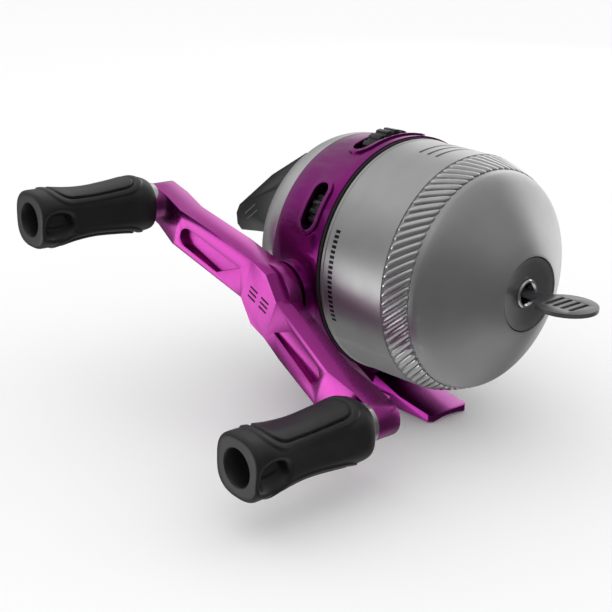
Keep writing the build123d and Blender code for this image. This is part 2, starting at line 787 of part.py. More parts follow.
# ---- thumb wheels ----
def toothed_wheel(r, half, bore, teeth):
    """Wheel about the local Y axis with a row of finger notches."""
    wheel = Rot(90, 0, 0) * Cylinder(r, 2 * half)
    notch = Pos(0, 0, r + 0.25) * Rot(90, 0, 0) * Cylinder(0.85, 2 * half + 2)
    notches = [Rot(0, k * 360 / teeth, 0) * notch for k in range(teeth)]
    wheel = wheel.cut(*notches)
    return wheel - Rot(90, 0, 0) * Cylinder(bore, 2 * half + 2)


def wheel_place(angle, radius):
    """Place of a thumb wheel's centre."""
    return around(angle) * Pos(0, wheel_y, radius)


def drag_wheel():
    """Drag wheel that stands out of the ring's upper slot."""
    return wheel_place(drag_angle, drag_axis_r()) * toothed_wheel(drag_wheel_r, drag_wheel_half, spindle_r, 22)


def alert_wheel():
    """Bite-alert wheel, sunk in the ring's side slot."""
    return wheel_place(side_angle, side_axis_r()) * toothed_wheel(side_wheel_r, side_wheel_half, spindle_r, 15)


def local_rod(angle, radius, r, y0, y1):
    """Rod parallel to Y at an angle and distance from the main axis."""
    return around(angle) * Pos(0, (y0 + y1) / 2, radius) * Rot(90, 0, 0) * Cylinder(r, y1 - y0)


def drag_screw():
    """Screw that the drag wheel turns, through the deck to the drag shoe."""
    front = deck_front_y - 0.9
    screw = local_rod(drag_angle, drag_axis_r(), spindle_r, front, wheel_y + drag_wheel_half)
    head_y = wheel_y + drag_wheel_half
    return screw + local_rod(drag_angle, drag_axis_r(), spindle_r + 1.2, head_y, head_y + 1.0)


def drag_shoe():
    """Pad on the drag screw that presses on the spool's rear flange."""
    back = deck_front_y - 0.3
    front = spool_rear_y + 0.65
    pad = around(drag_angle) * Pos(0, 0, drag_axis_r() - 0.6) * block(-5, 5, front, back, -2.0, 2.6)
    return pad - local_rod(drag_angle, drag_axis_r(), spindle_r + run_gap, deck_front_y - 0.95, deck_front_y + 1)


def alert_spindle():
    """Spindle of the bite-alert wheel, through the deck."""
    head_y = wheel_y + side_wheel_half
    rod = local_rod(side_angle, side_axis_r(), spindle_r, deck_front_y - 1.2, head_y)
    return rod + local_rod(side_angle, side_axis_r(), spindle_r + 0.6, head_y, head_y + 1.0)


def alert_tongue():
    """Springy tongue that the spindle swings into the click ring."""
    back = deck_front_y - body_gap
    front = spool_rear_y + 0.3
    hub = rod_y(spindle_r + 1.3, front, back, 0, 0)
    arm = block(-0.6, 0.6, front, back, -(side_axis_r() - click_r) + 0.5, 0)
    lever = (hub + arm) - rod_y(spindle_r, front - 1, back + 1, 0, 0)
    return around(side_angle) * Pos(0, 0, side_axis_r()) * Rot(0, 40, 0) * lever


# ---- handle ----
def arm_place(far):
    """Place with +Y along an arm and +Z across it; the far arm is the near one turned half round."""
    turn = 180 + arm_angle + (180 if far else 0)
    return Pos(0, 0, crank_height) * Rot(turn, 0, 0)


def arm_blade():
    """One raked arm, before the pocket, along local +Y, its face towards -X."""
    flat_start = throw - collar_disc_r - body_gap
    face_line = [(hub_face_x, 0), (hub_face_x, arm_shoulder), (rake_x, rake_end), (tip_x, flat_start),
                 (tip_x, throw + tip_r)]
    back_line = [(x + arm_t, along) for x, along in reversed(face_line)]
    span = 4 * handle_hub_r
    side = make_face(Polyline(*[(x, along, -span / 2) for x, along in face_line + back_line], close=True))
    blade = extrude(side, amount=span, dir=(0, 0, 1))
    outline = [(0, -arm_high), (arm_shoulder, arm_low), (throw, arm_tip_low), (throw, tip_r),
               (rake_end, arm_bend_high), (arm_straight, arm_high), (0, arm_high)]
    plan = make_face(Polyline(*[(2 * rake_x, along, across) for along, across in outline], close=True))
    plan = extrude(plan, amount=-2 * rake_x, dir=(1, 0, 0))
    plan += Pos(rake_x, throw, 0) * Rot(0, 90, 0) * Cylinder(tip_r, -2 * rake_x)
    return blade & plan


def arm_pocket():
    """Long pocket sunk in an arm's face: round at the outer end and pointed at the hub."""
    mid = (pocket_low + pocket_high) / 2
    r = (pocket_high - pocket_low) / 2
    outline = [(pocket_start, pocket_high + 0.4), (pocket_start + 7, pocket_low), (pocket_end - r, pocket_low),
               (pocket_end - r, pocket_high)]
    cutter = make_face(Polyline(*[(-70, s, w) for s, w in outline], close=True))
    cutter = extrude(cutter, amount=60, dir=(1, 0, 0))
    cutter += Pos(-40, pocket_end - r, mid) * Rot(0, 90, 0) * Cylinder(r, 60)
    floor_line = [(-70, 0), (hub_face_x + pocket_depth - 1.0, 0), (rake_x + pocket_depth, rake_end), (-70, rake_end)]
    depth = make_face(Polyline(*[(x, s, -20) for x, s in floor_line], close=True))
    return cutter & extrude(depth, amount=40, dir=(0, 0, 1))


def handle_arm():
    """Double handle: a hub with two raked arms, turned about the crank axis."""
    body = rod_x(handle_hub_r, hub_face_x + arm_t / 2, hub_back_x)
    for far in (False, True):
        body += arm_place(far) * arm_blade()
    body += rod_x(neck_r, hub_back_x, boss_face_x + boss_recess_depth - body_gap)
    for far in (False, True):
        body -= arm_place(far) * arm_pocket()
        body -= arm_place(far) * Pos(-48, throw, 0) * Rot(0, 90, 0) * Cylinder(spindle_pin_r, 20)
    return body - rod_x(shaft_r, hub_face_x + 3.0, boss_face_x + boss_recess_depth + 1)


def handle_screw():
    """Long screw from the far side that ties the shaft to the handle."""
    end_x = far_boss_face_x - cap_depth() + 0.3
    head = rod_x(shaft_r + 0.6, end_x, end_x + 2.0)
    head -= Pos(end_x + 2.0, 0, crank_height) * Box(1.6, 5.0, 0.8)
    return head + rod_x(screw_r - 0.02, end_x - 15, end_x)


def knob_spindle(far):
    """Shouldered pin riveted into the arm's tip for a knob to turn on."""
    head = knob_outer_x + knob_hole_depth - 1.5
    pin = Pos((tip_x + arm_t + head) / 2, 0, 0) * Rot(0, 90, 0) * Cylinder(spindle_pin_r, tip_x + arm_t - head)
    pin += Pos(head + 0.6, 0, 0) * Rot(0, 90, 0) * Cylinder(spindle_pin_r + 1.1, 1.2)
    return arm_place(far) * Pos(0, throw, 0) * pin


def knob_collar(far):
    """Polished washer between the arm and the knob."""
    outer_x = knob_inner_x + body_gap
    inner_x = tip_x
    collar = Pos((outer_x + inner_x) / 2, 0, 0) * Rot(0, 90, 0) * Cylinder(collar_disc_r, inner_x - outer_x)
    collar -= Rot(0, 90, 0) * Cylinder(spindle_pin_r, 200)
    return arm_place(far) * Pos(0, throw, 0) * collar


def knob_centre(far):
    """(y, z) of a knob's axis."""
    turn = radians(arm_angle)
    sign = -1 if far else 1
    return -sign * throw * cos(turn), crank_height - sign * throw * sin(turn)


def knob_section(x, width, height, corner):
    """Rounded section of a knob at a station along its axis."""
    return Plane(origin=(x, 0, 0), x_dir=(0, 1, 0), z_dir=(-1, 0, 0)) * RectangleRounded(width, height, corner)


def knob(far):
    """Soft grip with flared ends, a blind hole in its outer end and a shallow seat for each pad."""
    length = knob_inner_x - knob_outer_x
    stations = ((0.0, 13.0, 12.4, 5.4), (0.08, 16.4, 15.0, 6.2), (0.45, 13.6, 12.6, 5.0),
                (0.8, 15.6, 15.0, 6.0), (0.95, 16.2, 15.6, 6.4), (1.0, 14.6, 14.0, 6.2))
    sections = [knob_section(knob_inner_x - share * length, w, h, c) for share, w, h, c in stations]
    grip = loft(sections)
    grip -= Pos(knob_outer_x, 0, 0) * Rot(0, 90, 0) * Cylinder(knob_hole_r, 2 * knob_hole_depth)
    grip -= Rot(0, 90, 0) * Cylinder(spindle_pin_r + run_gap, 300)
    y, z = knob_centre(far)
    return Pos(0, y, z) * grip


# ---- write the parts ----
nodes = {
    "body_frame": body_frame(),
    "front_seal": front_seal(),
    "pinion_bushing": pinion_bushing(),
    "crank_bushing_near": crank_bushing(-boss_inner_x, boss_face_x + boss_recess_depth),
    "crank_bushing_far": crank_bushing(boss_inner_x, far_boss_face_x - cap_depth()),
    "side_cap": side_cap(),
    "front_cover": front_cover(),
    "nose_insert": nose_insert(),
    "line_guide": line_guide(),
    "line_keeper": line_keeper(),
    "back_cover": back_cover(),
    "back_cover_screws": back_cover_screws(),
    "thumb_button": thumb_button(),
    "button_pin": button_pin(),
    "crank_shaft": crank_shaft(),
    "drive_gear": drive_gear(),
    "gear_clip": gear_clip(),
    "ratchet_wheel": ratchet_wheel(),
    "pawl": pawl(),
    "pawl_pin": pawl_pin(),
    "pinion_gear": pinion_gear(),
    "shaft_spring": shaft_spring(),
    "centre_shaft": centre_shaft(),
    "shaft_collar": shaft_collar(),
    "spinner_head": spinner_head(),
    "pickup_pin": pickup_pin(),
    "snub_ring": snub_ring(),
    "head_nut": head_nut(),
    "spool": spool(),
    "wound_line": wound_line(),
    "click_ring": click_ring(),
    "drag_washer": drag_washer(),
    "spring_washer": spring_washer(),
    "spool_clip": spool_clip(),
    "drag_wheel": drag_wheel(),
    "drag_screw": drag_screw(),
    "drag_shoe": drag_shoe(),
    "alert_wheel": alert_wheel(),
    "alert_spindle": alert_spindle(),
    "alert_tongue": alert_tongue(),
    "handle_arm": handle_arm(),
    "handle_screw": handle_screw(),
}
for name, far in (("near", False), ("far", True)):
    nodes[f"knob_spindle_{name}"] = knob_spindle(far)
    nodes[f"knob_collar_{name}"] = knob_collar(far)
    nodes[f"knob_{name}"] = knob(far)

os.makedirs("parts", exist_ok=True)
for name, solid in nodes.items():
    export_step(solid, f"parts/{name}.step")
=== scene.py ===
"""Looks of a closed-face spincast reel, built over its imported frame.

+X points away from the handle, +Y to the rear and +Z up. Lengths given to Blender are metres;
the sizes in the classes are millimetres.
"""

from __future__ import annotations

import json
import logging
import math
from dataclasses import dataclass, field
from enum import Enum
from functools import lru_cache
from typing import Callable, Sequence
import bmesh
import bpy
from mathutils import Matrix, Vector


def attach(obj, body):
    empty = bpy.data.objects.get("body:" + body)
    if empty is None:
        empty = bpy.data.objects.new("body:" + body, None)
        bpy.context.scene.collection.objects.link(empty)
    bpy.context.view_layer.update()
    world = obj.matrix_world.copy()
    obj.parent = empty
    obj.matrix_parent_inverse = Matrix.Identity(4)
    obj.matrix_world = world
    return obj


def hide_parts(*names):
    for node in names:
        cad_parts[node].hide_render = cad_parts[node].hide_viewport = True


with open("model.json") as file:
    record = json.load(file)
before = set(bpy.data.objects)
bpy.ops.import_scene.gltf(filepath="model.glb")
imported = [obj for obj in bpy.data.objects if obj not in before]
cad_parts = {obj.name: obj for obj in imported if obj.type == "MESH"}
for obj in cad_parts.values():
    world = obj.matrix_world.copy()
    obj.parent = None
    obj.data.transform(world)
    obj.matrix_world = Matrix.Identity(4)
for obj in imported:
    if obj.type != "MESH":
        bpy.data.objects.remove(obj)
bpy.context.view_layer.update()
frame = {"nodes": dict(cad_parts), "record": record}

LOG = logging.getLogger("spincast_reel")
MM = 0.001
AXIS_HEIGHT = 42.3
CRANK_HEIGHT = 35.25

Colour = tuple[float, float, float]
Point = tuple[float, float, float]


# ---- node trees ----
class Wiring:
    """A node tree with short calls for adding and joining its nodes."""

    def __init__(self, tree: bpy.types.NodeTree) -> None:
        """Args:
        tree: the node tree to fill.
        """
        self.tree = tree

    def add(self, kind: str, inputs: dict | None = None, **settings: object) -> bpy.types.Node:
        """Adds a node.

        Args:
            kind: the node's type name.
            inputs: value or output socket for each input, by name or number.
            settings: properties set on the node before its inputs.

        Returns:
            The new node.
        """
        node = self.tree.nodes.new(kind)
        for name, value in settings.items():
            setattr(node, name, value)
        for name, value in (inputs or {}).items():
            self.feed(node, name, value)
        return node

    def feed(self, node: bpy.types.Node, name: str | int, value: object) -> None:
        """Joins an output to an input, or sets the input's own value.

        Args:
            node: the node that owns the input.
            name: the input's name or number.
            value: an output socket or a constant.
        """
        if isinstance(value, bpy.types.NodeSocket):
            self.tree.links.new(value, node.inputs[name])
        else:
            node.inputs[name].default_value = value

    def math(self, operation: str, *values: object, clamp: bool = False) -> bpy.types.NodeSocket:
        """Adds a Math node and returns its result.

        Args:
            operation: the Math node's operation.
            values: its inputs in order.
            clamp: limits the result to 0 to 1.

        Returns:
            The node's output.
        """
        kind = "ShaderNodeMath"
        return self.add(kind, dict(enumerate(values)), operation=operation, use_clamp=clamp).outputs[0]


class Effect(Enum):
    """Shader groups that several finishes share."""

    GRAIN = "fine_grain"
    TURNED = "turned_marks"
    LEATHER = "leather_grain"
    TONE = "tone_drift"
    EDGE = "edge_light"
    PRINT = "printed_dashes"


@dataclass(frozen=True)
class Socket:
    """One socket of a group's face."""

    name: str
    kind: str
    value: object = None


FLOAT = "NodeSocketFloat"
VECTOR = "NodeSocketVector"
COLOUR = "NodeSocketColor"
GEOMETRY = "NodeSocketGeometry"
INTEGER = "NodeSocketInt"
MATERIAL = "NodeSocketMaterial"


def new_group(
    name: str, kind: str, takes: Sequence[Socket], gives: Sequence[Socket]
) -> tuple[Wiring, bpy.types.Node, bpy.types.Node]:
    """Makes an empty node group with its sockets.

    Args:
        name: the group's name.
        kind: ShaderNodeTree or GeometryNodeTree.
        takes: its inputs.
        gives: its outputs.

    Returns:
        The group's wiring, its input node and its output node.
    """
    tree = bpy.data.node_groups.new(name, kind)
    for side, sockets in (("INPUT", takes), ("OUTPUT", gives)):
        for socket in sockets:
            made = tree.interface.new_socket(socket.name, in_out=side, socket_type=socket.kind)
            if socket.value is not None:
                made.default_value = socket.value
    wiring = Wiring(tree)
    return wiring, wiring.add("NodeGroupInput"), wiring.add("NodeGroupOutput")


def grain_group() -> bpy.types.NodeTree:
    """Fine cast or moulded grain: a height and a wandering roughness."""
    takes = [
        Socket("Vector", VECTOR), Socket("Scale", FLOAT, 900.0), Socket("Low", FLOAT, 0.3),
        Socket("High", FLOAT, 0.4)
    ]
    w, given, result = new_group(
        Effect.GRAIN.value, "ShaderNodeTree", takes, [Socket("Height", FLOAT), Socket("Roughness", FLOAT)]
    )
    fine = w.add(
        "ShaderNodeTexNoise",
        {"Vector": given.outputs["Vector"], "Scale": given.outputs["Scale"], "Detail": 4.0}
    )
    wide_scale = w.math("MULTIPLY", given.outputs["Scale"], 0.07)
    wide = w.add(
        "ShaderNodeTexNoise", {"Vector": given.outputs["Vector"], "Scale": wide_scale, "Detail": 3.0}
    )
    spread = w.math("MULTIPLY_ADD", fine.outputs[0], 0.5, w.math("MULTIPLY", wide.outputs[0], 0.5))
    rough = w.add(
        "ShaderNodeMapRange", {0: spread, 1: 0.3, 2: 0.7, 3: given.outputs["Low"], 4: given.outputs["High"]}
    )
    w.feed(result, "Height", fine.outputs[0])
    w.feed(result, "Roughness", rough.outputs[0])
    return w.tree


def turned_group() -> bpy.types.NodeTree:
    """Faint rings left by a lathe about the main axis."""
    takes = [Socket("Vector", VECTOR), Socket("Pitch", FLOAT, 4000.0)]
    w, given, result = new_group(Effect.TURNED.value, "ShaderNodeTree", takes, [Socket("Height", FLOAT)])
    parts = w.add("ShaderNodeSeparateXYZ", {0: given.outputs["Vector"]})
    rise = w.math("SUBTRACT", parts.outputs[2], AXIS_HEIGHT * MM)
    radius = w.math("SQRT", w.math("ADD", w.math("POWER", parts.outputs[0], 2.0), w.math("POWER", rise, 2.0)))
    along = w.math("SUBTRACT", radius, parts.outputs[1])
    lines = w.add(
        "ShaderNodeTexNoise", {"W": along, "Scale": given.outputs["Pitch"], "Detail": 2.0},
        noise_dimensions="1D"
    )
    w.feed(result, "Height", lines.outputs[0])
    return w.tree


def leather_group() -> bpy.types.NodeTree:
    """Pebbled leather grain with creases between the pebbles."""
    takes = [Socket("Vector", VECTOR), Socket("Scale", FLOAT, 1300.0)]
    w, given, result = new_group(
        Effect.LEATHER.value, "ShaderNodeTree", takes, [Socket("Height", FLOAT), Socket("Crease", FLOAT)]
    )
    bend = w.add("ShaderNodeTexNoise", {"Vector": given.outputs["Vector"], "Scale": 420.0, "Detail": 2.0})
    shift = w.add(
        "ShaderNodeVectorMath", {0: bend.outputs["Color"], 1: (0.0006, 0.0006, 0.0006)}, operation="MULTIPLY"
    )
    moved = w.add("ShaderNodeVectorMath", {0: given.outputs["Vector"], 1: shift.outputs[0]}, operation="ADD")
    cells = w.add(
        "ShaderNodeTexVoronoi", {"Vector": moved.outputs[0], "Scale": given.outputs["Scale"]},
        feature="DISTANCE_TO_EDGE"
    )
    pebble = w.add(
        "ShaderNodeMapRange", {0: cells.outputs["Distance"], 1: 0.0, 2: 0.35, 3: 0.0, 4: 1.0},
        interpolation_type="SMOOTHSTEP"
    )
    w.feed(result, "Height", pebble.outputs[0])
    w.feed(result, "Crease", w.math("SUBTRACT", 1.0, pebble.outputs[0]))
    return w.tree


def tone_group() -> bpy.types.NodeTree:
    """Slow drift between two near tones of one colour."""
    takes = [
        Socket("Vector", VECTOR), Socket("Scale", FLOAT, 60.0), Socket("Base", COLOUR),
        Socket("Shade", COLOUR)
    ]
    w, given, result = new_group(Effect.TONE.value, "ShaderNodeTree", takes, [Socket("Color", COLOUR)])
    noise = w.add(
        "ShaderNodeTexNoise",
        {"Vector": given.outputs["Vector"], "Scale": given.outputs["Scale"], "Detail": 3.0}
    )
    share = w.add("ShaderNodeMapRange", {0: noise.outputs[0], 1: 0.35, 2: 0.65, 3: 0.0, 4: 1.0})
    inputs = {"Factor": share.outputs[0], "A": given.outputs["Base"], "B": given.outputs["Shade"]}
    w.feed(result, "Color", mix_colour(w, inputs))
    return w.tree


def edge_group() -> bpy.types.NodeTree:
    """Mask of outer edges, broken up a little, where a painted highlight lightens a finish."""
    takes = [Socket("Vector", VECTOR), Socket("Amount", FLOAT, 0.3)]
    w, given, result = new_group(Effect.EDGE.value, "ShaderNodeTree", takes, [Socket("Mask", FLOAT)])
    point = w.add("ShaderNodeNewGeometry").outputs["Pointiness"]
    edge = w.add("ShaderNodeMapRange", {0: point, 1: 0.52, 2: 0.6, 3: 0.0, 4: 1.0})
    broken = w.add("ShaderNodeTexNoise", {"Vector": given.outputs["Vector"], "Scale": 350.0, "Detail": 3.0})
    highlight_mask = w.math(
        "MULTIPLY", w.math("MULTIPLY", edge.outputs[0], broken.outputs[0]), given.outputs["Amount"],
        clamp=True
    )
    w.feed(result, "Mask", highlight_mask)
    return w.tree


def print_group() -> bpy.types.NodeTree:
    """Generic printed dashes on the front cover: a short row by its rear edge and three bars on top."""
    w, given, result = new_group(
        Effect.PRINT.value, "ShaderNodeTree", [Socket("Vector", VECTOR)], [Socket("Mask", FLOAT)]
    )
    parts = w.add("ShaderNodeSeparateXYZ", {0: given.outputs["Vector"]})
    rise = w.math("SUBTRACT", parts.outputs[2], AXIS_HEIGHT * MM)
    turn = w.math("ARCTAN2", w.math("MULTIPLY", parts.outputs[0], -1.0), rise)

    def band(value: bpy.types.NodeSocket, low: float, high: float) -> bpy.types.NodeSocket:
        """Mask of a value between two limits."""
        above = w.math("GREATER_THAN", value, low)
        return w.math("MULTIPLY", above, w.math("LESS_THAN", value, high))

    ticks = w.math("FRACT", w.math("MULTIPLY", turn, 24.0))
    row = w.math("MULTIPLY", band(parts.outputs[1], -0.0152, -0.0136), band(turn, 1.15, 1.95))
    row = w.math("MULTIPLY", row, w.math("LESS_THAN", ticks, 0.62))
    bars = w.math("FRACT", w.math("MULTIPLY", parts.outputs[1], 340.0))
    top = w.math("MULTIPLY", band(parts.outputs[1], -0.0265, -0.0177), band(turn, -0.22, 0.24))
    top = w.math("MULTIPLY", top, w.math("LESS_THAN", bars, 0.3))
    w.feed(result, "Mask", w.math("MAXIMUM", row, top))
    return w.tree


def mix_colour(w: Wiring, inputs: dict, blend: str = "MIX") -> bpy.types.NodeSocket:
    """Adds a colour Mix node.

    Args:
        w: the tree's wiring.
        inputs: Factor, A and B, as values or sockets.
        blend: the blend type.

    Returns:
        The mixed colour.
    """
    node = w.add("ShaderNodeMix", data_type="RGBA", blend_type=blend)
    w.feed(node, 0, inputs["Factor"])
    w.feed(node, 6, inputs["A"])
    w.feed(node, 7, inputs["B"])
    return node.outputs[2]


GROUPS: dict[Effect, Callable[[], bpy.types.NodeTree]] = {
    Effect.GRAIN: grain_group,
    Effect.TURNED: turned_group,
    Effect.LEATHER: leather_group,
    Effect.TONE: tone_group,
    Effect.EDGE: edge_group,
    Effect.PRINT: print_group,
}


def effect(w: Wiring, kind: Effect, inputs: dict) -> bpy.types.Node:
    """Places a shared shader group, building it the first time.

    Args:
        w: wiring of the material's tree.
        kind: which group.
        inputs: its inputs.

    Returns:
        The group's node.
    """
    tree = bpy.data.node_groups.get(kind.value) or GROUPS[kind]()
    node = w.add("ShaderNodeGroup", node_tree=tree)
    for name, value in inputs.items():
        w.feed(node, name, value)
    return node


# ---- finishes ----
class Surface(Enum):
    """What gives a finish its relief."""

    GRAIN = "grain"
    TURNED = "turned"
    LEATHER = "leather"
    WOUND = "wound"


def rgba(colour: Colour) -> tuple[float, float, float, float]:
    """Colour with full alpha."""
    return (*colour, 1.0)


@dataclass(frozen=True)
class Finish:
    """A finish of the reel, made into one material."""

    name: str
    base: Colour
    shade: Colour
    metallic: float = 0.0
    rough: tuple[float, float] = (0.35, 0.45)
    surface: Surface = Surface.GRAIN
    scale: float = 1500.0
    relief: float = 0.08
    depth_mm: float = 0.02
    coat: float = 0.0
    coat_rough: float = 0.08
    # Strength and colour of a painted highlight on outer edges.
    edge: float = 0.15
    edge_highlight_colour: Colour = (0.8, 0.8, 0.8)
    specular: float = 0.5
    transmission: float = 0.0
    printed: bool = False

    def material(self) -> bpy.types.Material:
        """Builds the material once and returns it."""
        name = f"{self.name}_finish"
        made = bpy.data.materials.get(name)
        if made:
            return made
        made = bpy.data.materials.new(name)
        made.use_nodes = True
        w = Wiring(made.node_tree)
        made.node_tree.nodes.clear()
        place = w.add("ShaderNodeTexCoord").outputs["Object"]
        tone = {
            "Vector": place, "Scale": self.scale * 0.05, "Base": rgba(self.base), "Shade": rgba(self.shade)
        }
        colour = effect(w, Effect.TONE, tone).outputs[0]
        grain = effect(
            w, Effect.GRAIN,
            {"Vector": place, "Scale": self.scale, "Low": self.rough[0], "High": self.rough[1]}
        )
        height = grain.outputs["Height"]
        if self.surface is Surface.TURNED:
            lines = effect(w, Effect.TURNED, {"Vector": place}).outputs[0]
            height = w.math("MULTIPLY_ADD", lines, 0.8, w.math("MULTIPLY", height, 0.5))
        if self.surface is Surface.WOUND:
            height = effect(w, Effect.TURNED, {"Vector": place, "Pitch": 2400.0}).outputs[0]
        if self.surface is Surface.LEATHER:
            hide = effect(w, Effect.LEATHER, {"Vector": place, "Scale": self.scale})
            height = w.math("MULTIPLY_ADD", height, 0.25, hide.outputs["Height"])
            # Painted shade: the creases between the pebbles are mixed towards the darker tone.
            dark = w.math("MULTIPLY", hide.outputs["Crease"], 0.5)
            colour = mix_colour(w, {"Factor": dark, "A": colour, "B": rgba(self.shade)})
        # Painted highlight: outer edges are mixed towards the lighter edge colour.
        if self.edge:
            highlight_mask = effect(w, Effect.EDGE, {"Vector": place, "Amount": self.edge}).outputs[0]
            colour = mix_colour(w, {"Factor": highlight_mask, "A": colour, "B": rgba(self.edge_highlight_colour)})
        if self.printed:
            marks = effect(w, Effect.PRINT, {"Vector": place}).outputs[0]
            colour = mix_colour(w, {"Factor": marks, "A": colour, "B": (0.02, 0.02, 0.022, 1.0)})
        bump = w.add(
            "ShaderNodeBump", {"Strength": self.relief, "Distance": self.depth_mm * MM, "Height": height}
        )
        inputs = {
            "Base Color": colour,
            "Metallic": self.metallic,
            "Roughness": grain.outputs["Roughness"],
            "Coat Weight": self.coat,
            "Coat Roughness": self.coat_rough,
            "Specular IOR Level": self.specular,
            "Transmission Weight": self.transmission,
            "Normal": bump.outputs[0],
        }
        shader = w.add("ShaderNodeBsdfPrincipled", inputs)
        w.add("ShaderNodeOutputMaterial", {"Surface": shader.outputs[0]})
        made.diffuse_color = rgba(self.base)
        return made


ANODISED = Finish(
    "anodised_magenta", (0.44, 0.028, 0.32), (0.40, 0.025, 0.29), metallic=1.0, rough=(0.24, 0.32),
    relief=0.05,
    coat=0.35, coat_rough=0.12, edge=0.35, edge_highlight_colour=(0.85, 0.32, 0.75),
)
ANODISED_CAST = Finish(
    "anodised_magenta_cast", (0.25, 0.008, 0.19), (0.22, 0.007, 0.17), metallic=1.0, rough=(0.20, 0.29),
    scale=2200.0,
    relief=0.07, coat=0.12, coat_rough=0.08, edge=0.3, edge_highlight_colour=(0.8, 0.2, 0.7),
)
MARK = Finish(
    "hub_mark_dark", (0.05, 0.003, 0.04), (0.04, 0.002, 0.03), metallic=0.6, rough=(0.4, 0.5), edge=0.0
)
SATIN = Finish(
    "satin_silver", (0.45, 0.45, 0.452), (0.42, 0.42, 0.422), metallic=0.9, rough=(0.36, 0.42),
    surface=Surface.TURNED,
    scale=2600.0, relief=0.05, edge=0.2, edge_highlight_colour=(0.85, 0.85, 0.86), printed=True,
)
SATIN_REAR = Finish(
    "satin_silver_rear", (0.54, 0.54, 0.542), (0.50, 0.50, 0.502), metallic=0.85, rough=(0.3, 0.38),
    scale=2600.0, relief=0.05,
    edge=0.2,
)
# The cover's silver made lighter: a painted highlight on the grip ridges.
GRIP_HIGHLIGHT_SILVER = Finish(
    "grip_band_highlight_silver", (0.60, 0.60, 0.605), (0.54, 0.54, 0.545), metallic=0.95, rough=(0.26, 0.34),
    scale=2600.0, relief=0.05,
    edge=0.4, edge_highlight_colour=(0.95, 0.95, 0.95),
)
POLISHED = Finish(
    "polished_silver", (0.86, 0.86, 0.87), (0.8, 0.8, 0.82), metallic=1.0, rough=(0.08, 0.14), relief=0.03
)
BLACK_GLOSS = Finish(
    "black_gloss", (0.006, 0.006, 0.007), (0.009, 0.009, 0.01), rough=(0.2, 0.28), scale=1800.0, relief=0.05,
    specular=0.35,
    edge=0.12, edge_highlight_colour=(0.2, 0.2, 0.21),
)
SOFT_BLACK = Finish(
    "soft_black", (0.007, 0.007, 0.0075), (0.010, 0.010, 0.0105), rough=(0.36, 0.46), scale=3200.0,
    relief=0.16, depth_mm=0.03,
    edge=0.1, edge_highlight_colour=(0.09, 0.09, 0.09),
)
PAD_LEATHER = Finish(
    "pad_leather", (0.012, 0.012, 0.0125), (0.006, 0.006, 0.0065), rough=(0.46, 0.58),
    surface=Surface.LEATHER, scale=1500.0,
    relief=0.55, depth_mm=0.05, edge=0.0,
)
RUBBER = Finish(
    "black_rubber", (0.015, 0.015, 0.015), (0.024, 0.024, 0.024), rough=(0.55, 0.7), relief=0.2, edge=0.0
)
NOSE_DARK = Finish(
    "nose_dark", (0.19, 0.19, 0.192), (0.17, 0.17, 0.172), metallic=0.85, rough=(0.38, 0.46),
    surface=Surface.TURNED, relief=0.08,
)
KEEPER = Finish(
    "keeper_smoke", (0.035, 0.035, 0.038), (0.045, 0.045, 0.048), rough=(0.3, 0.4), scale=2400.0, relief=0.1,
    edge=0.2,
    edge_highlight_colour=(0.3, 0.3, 0.32),
)
STEEL = Finish(
    "machined_steel", (0.55, 0.55, 0.56), (0.48, 0.48, 0.5), metallic=1.0, rough=(0.22, 0.34), relief=0.08
)
BRASS = Finish(
    "cut_brass", (0.72, 0.52, 0.25), (0.66, 0.46, 0.21), metallic=1.0, rough=(0.25, 0.36), relief=0.08
)
ZINC = Finish(
    "cast_zinc", (0.42, 0.42, 0.43), (0.36, 0.36, 0.37), metallic=0.9, rough=(0.42, 0.55), relief=0.2
)
BRONZE = Finish(
    "sintered_bronze", (0.5, 0.33, 0.17), (0.42, 0.27, 0.13), metallic=0.9, rough=(0.45, 0.58), relief=0.25
)
SPOOL_BLACK = Finish("spool_black", (0.03, 0.03, 0.032), (0.04, 0.04, 0.042), rough=(0.45, 0.55), relief=0.12)
LINE = Finish(
    "wound_line", (0.72, 0.77, 0.79), (0.62, 0.68, 0.7), rough=(0.2, 0.3), surface=Surface.WOUND, relief=0.5,
    depth_mm=0.1
)
FIBRE = Finish("pressed_fibre", (0.28, 0.15, 0.09), (0.2, 0.1, 0.06), rough=(0.75, 0.9), relief=0.4, edge=0.0)

SLOT_FINISH = {
    "anodised_magenta": ANODISED,
    "satin_silver": SATIN_REAR,
    "polished_silver": POLISHED,
    "black_gloss": BLACK_GLOSS,
    "black_soft": SOFT_BLACK,
    "black_rubber": RUBBER,
    "nose_dark": NOSE_DARK,
    "keeper_smoke": KEEPER,
    "steel": STEEL,
    "brass_gear": BRASS,
    "zinc": ZINC,
    "bearing_bronze": BRONZE,
    "spool_plastic": SPOOL_BLACK,
    "line_mono": LINE,
    "fibre": FIBRE,
}


# ---- making meshes ----
def link_mesh(name: str, mesh: bpy.types.Mesh) -> bpy.types.Object:
    """Puts a mesh into the scene as an object at the origin.

    Args:
        name: the object's name.
        mesh: its mesh, in place.

    Returns:
        The new object.
    """
    made = bpy.data.objects.new(name, mesh)
    bpy.context.scene.collection.objects.link(made)
    return made


def mesh_from(
    name: str, corners: Sequence[Point], faces: Sequence[Sequence[int]], scale: float = MM
) -> bpy.types.Mesh:
    """Makes a mesh with outward faces from corners and faces.

    Args:
        name: the mesh's name.
        corners: corner positions.
        faces: corner numbers of each face.
        scale: factor from the corners' unit to metres.

    Returns:
        The mesh.
    """
    mesh = bpy.data.meshes.new(name)
    mesh.from_pydata([tuple(scale * c for c in corner) for corner in corners], [], faces)
    turn_outward(mesh)
    return mesh


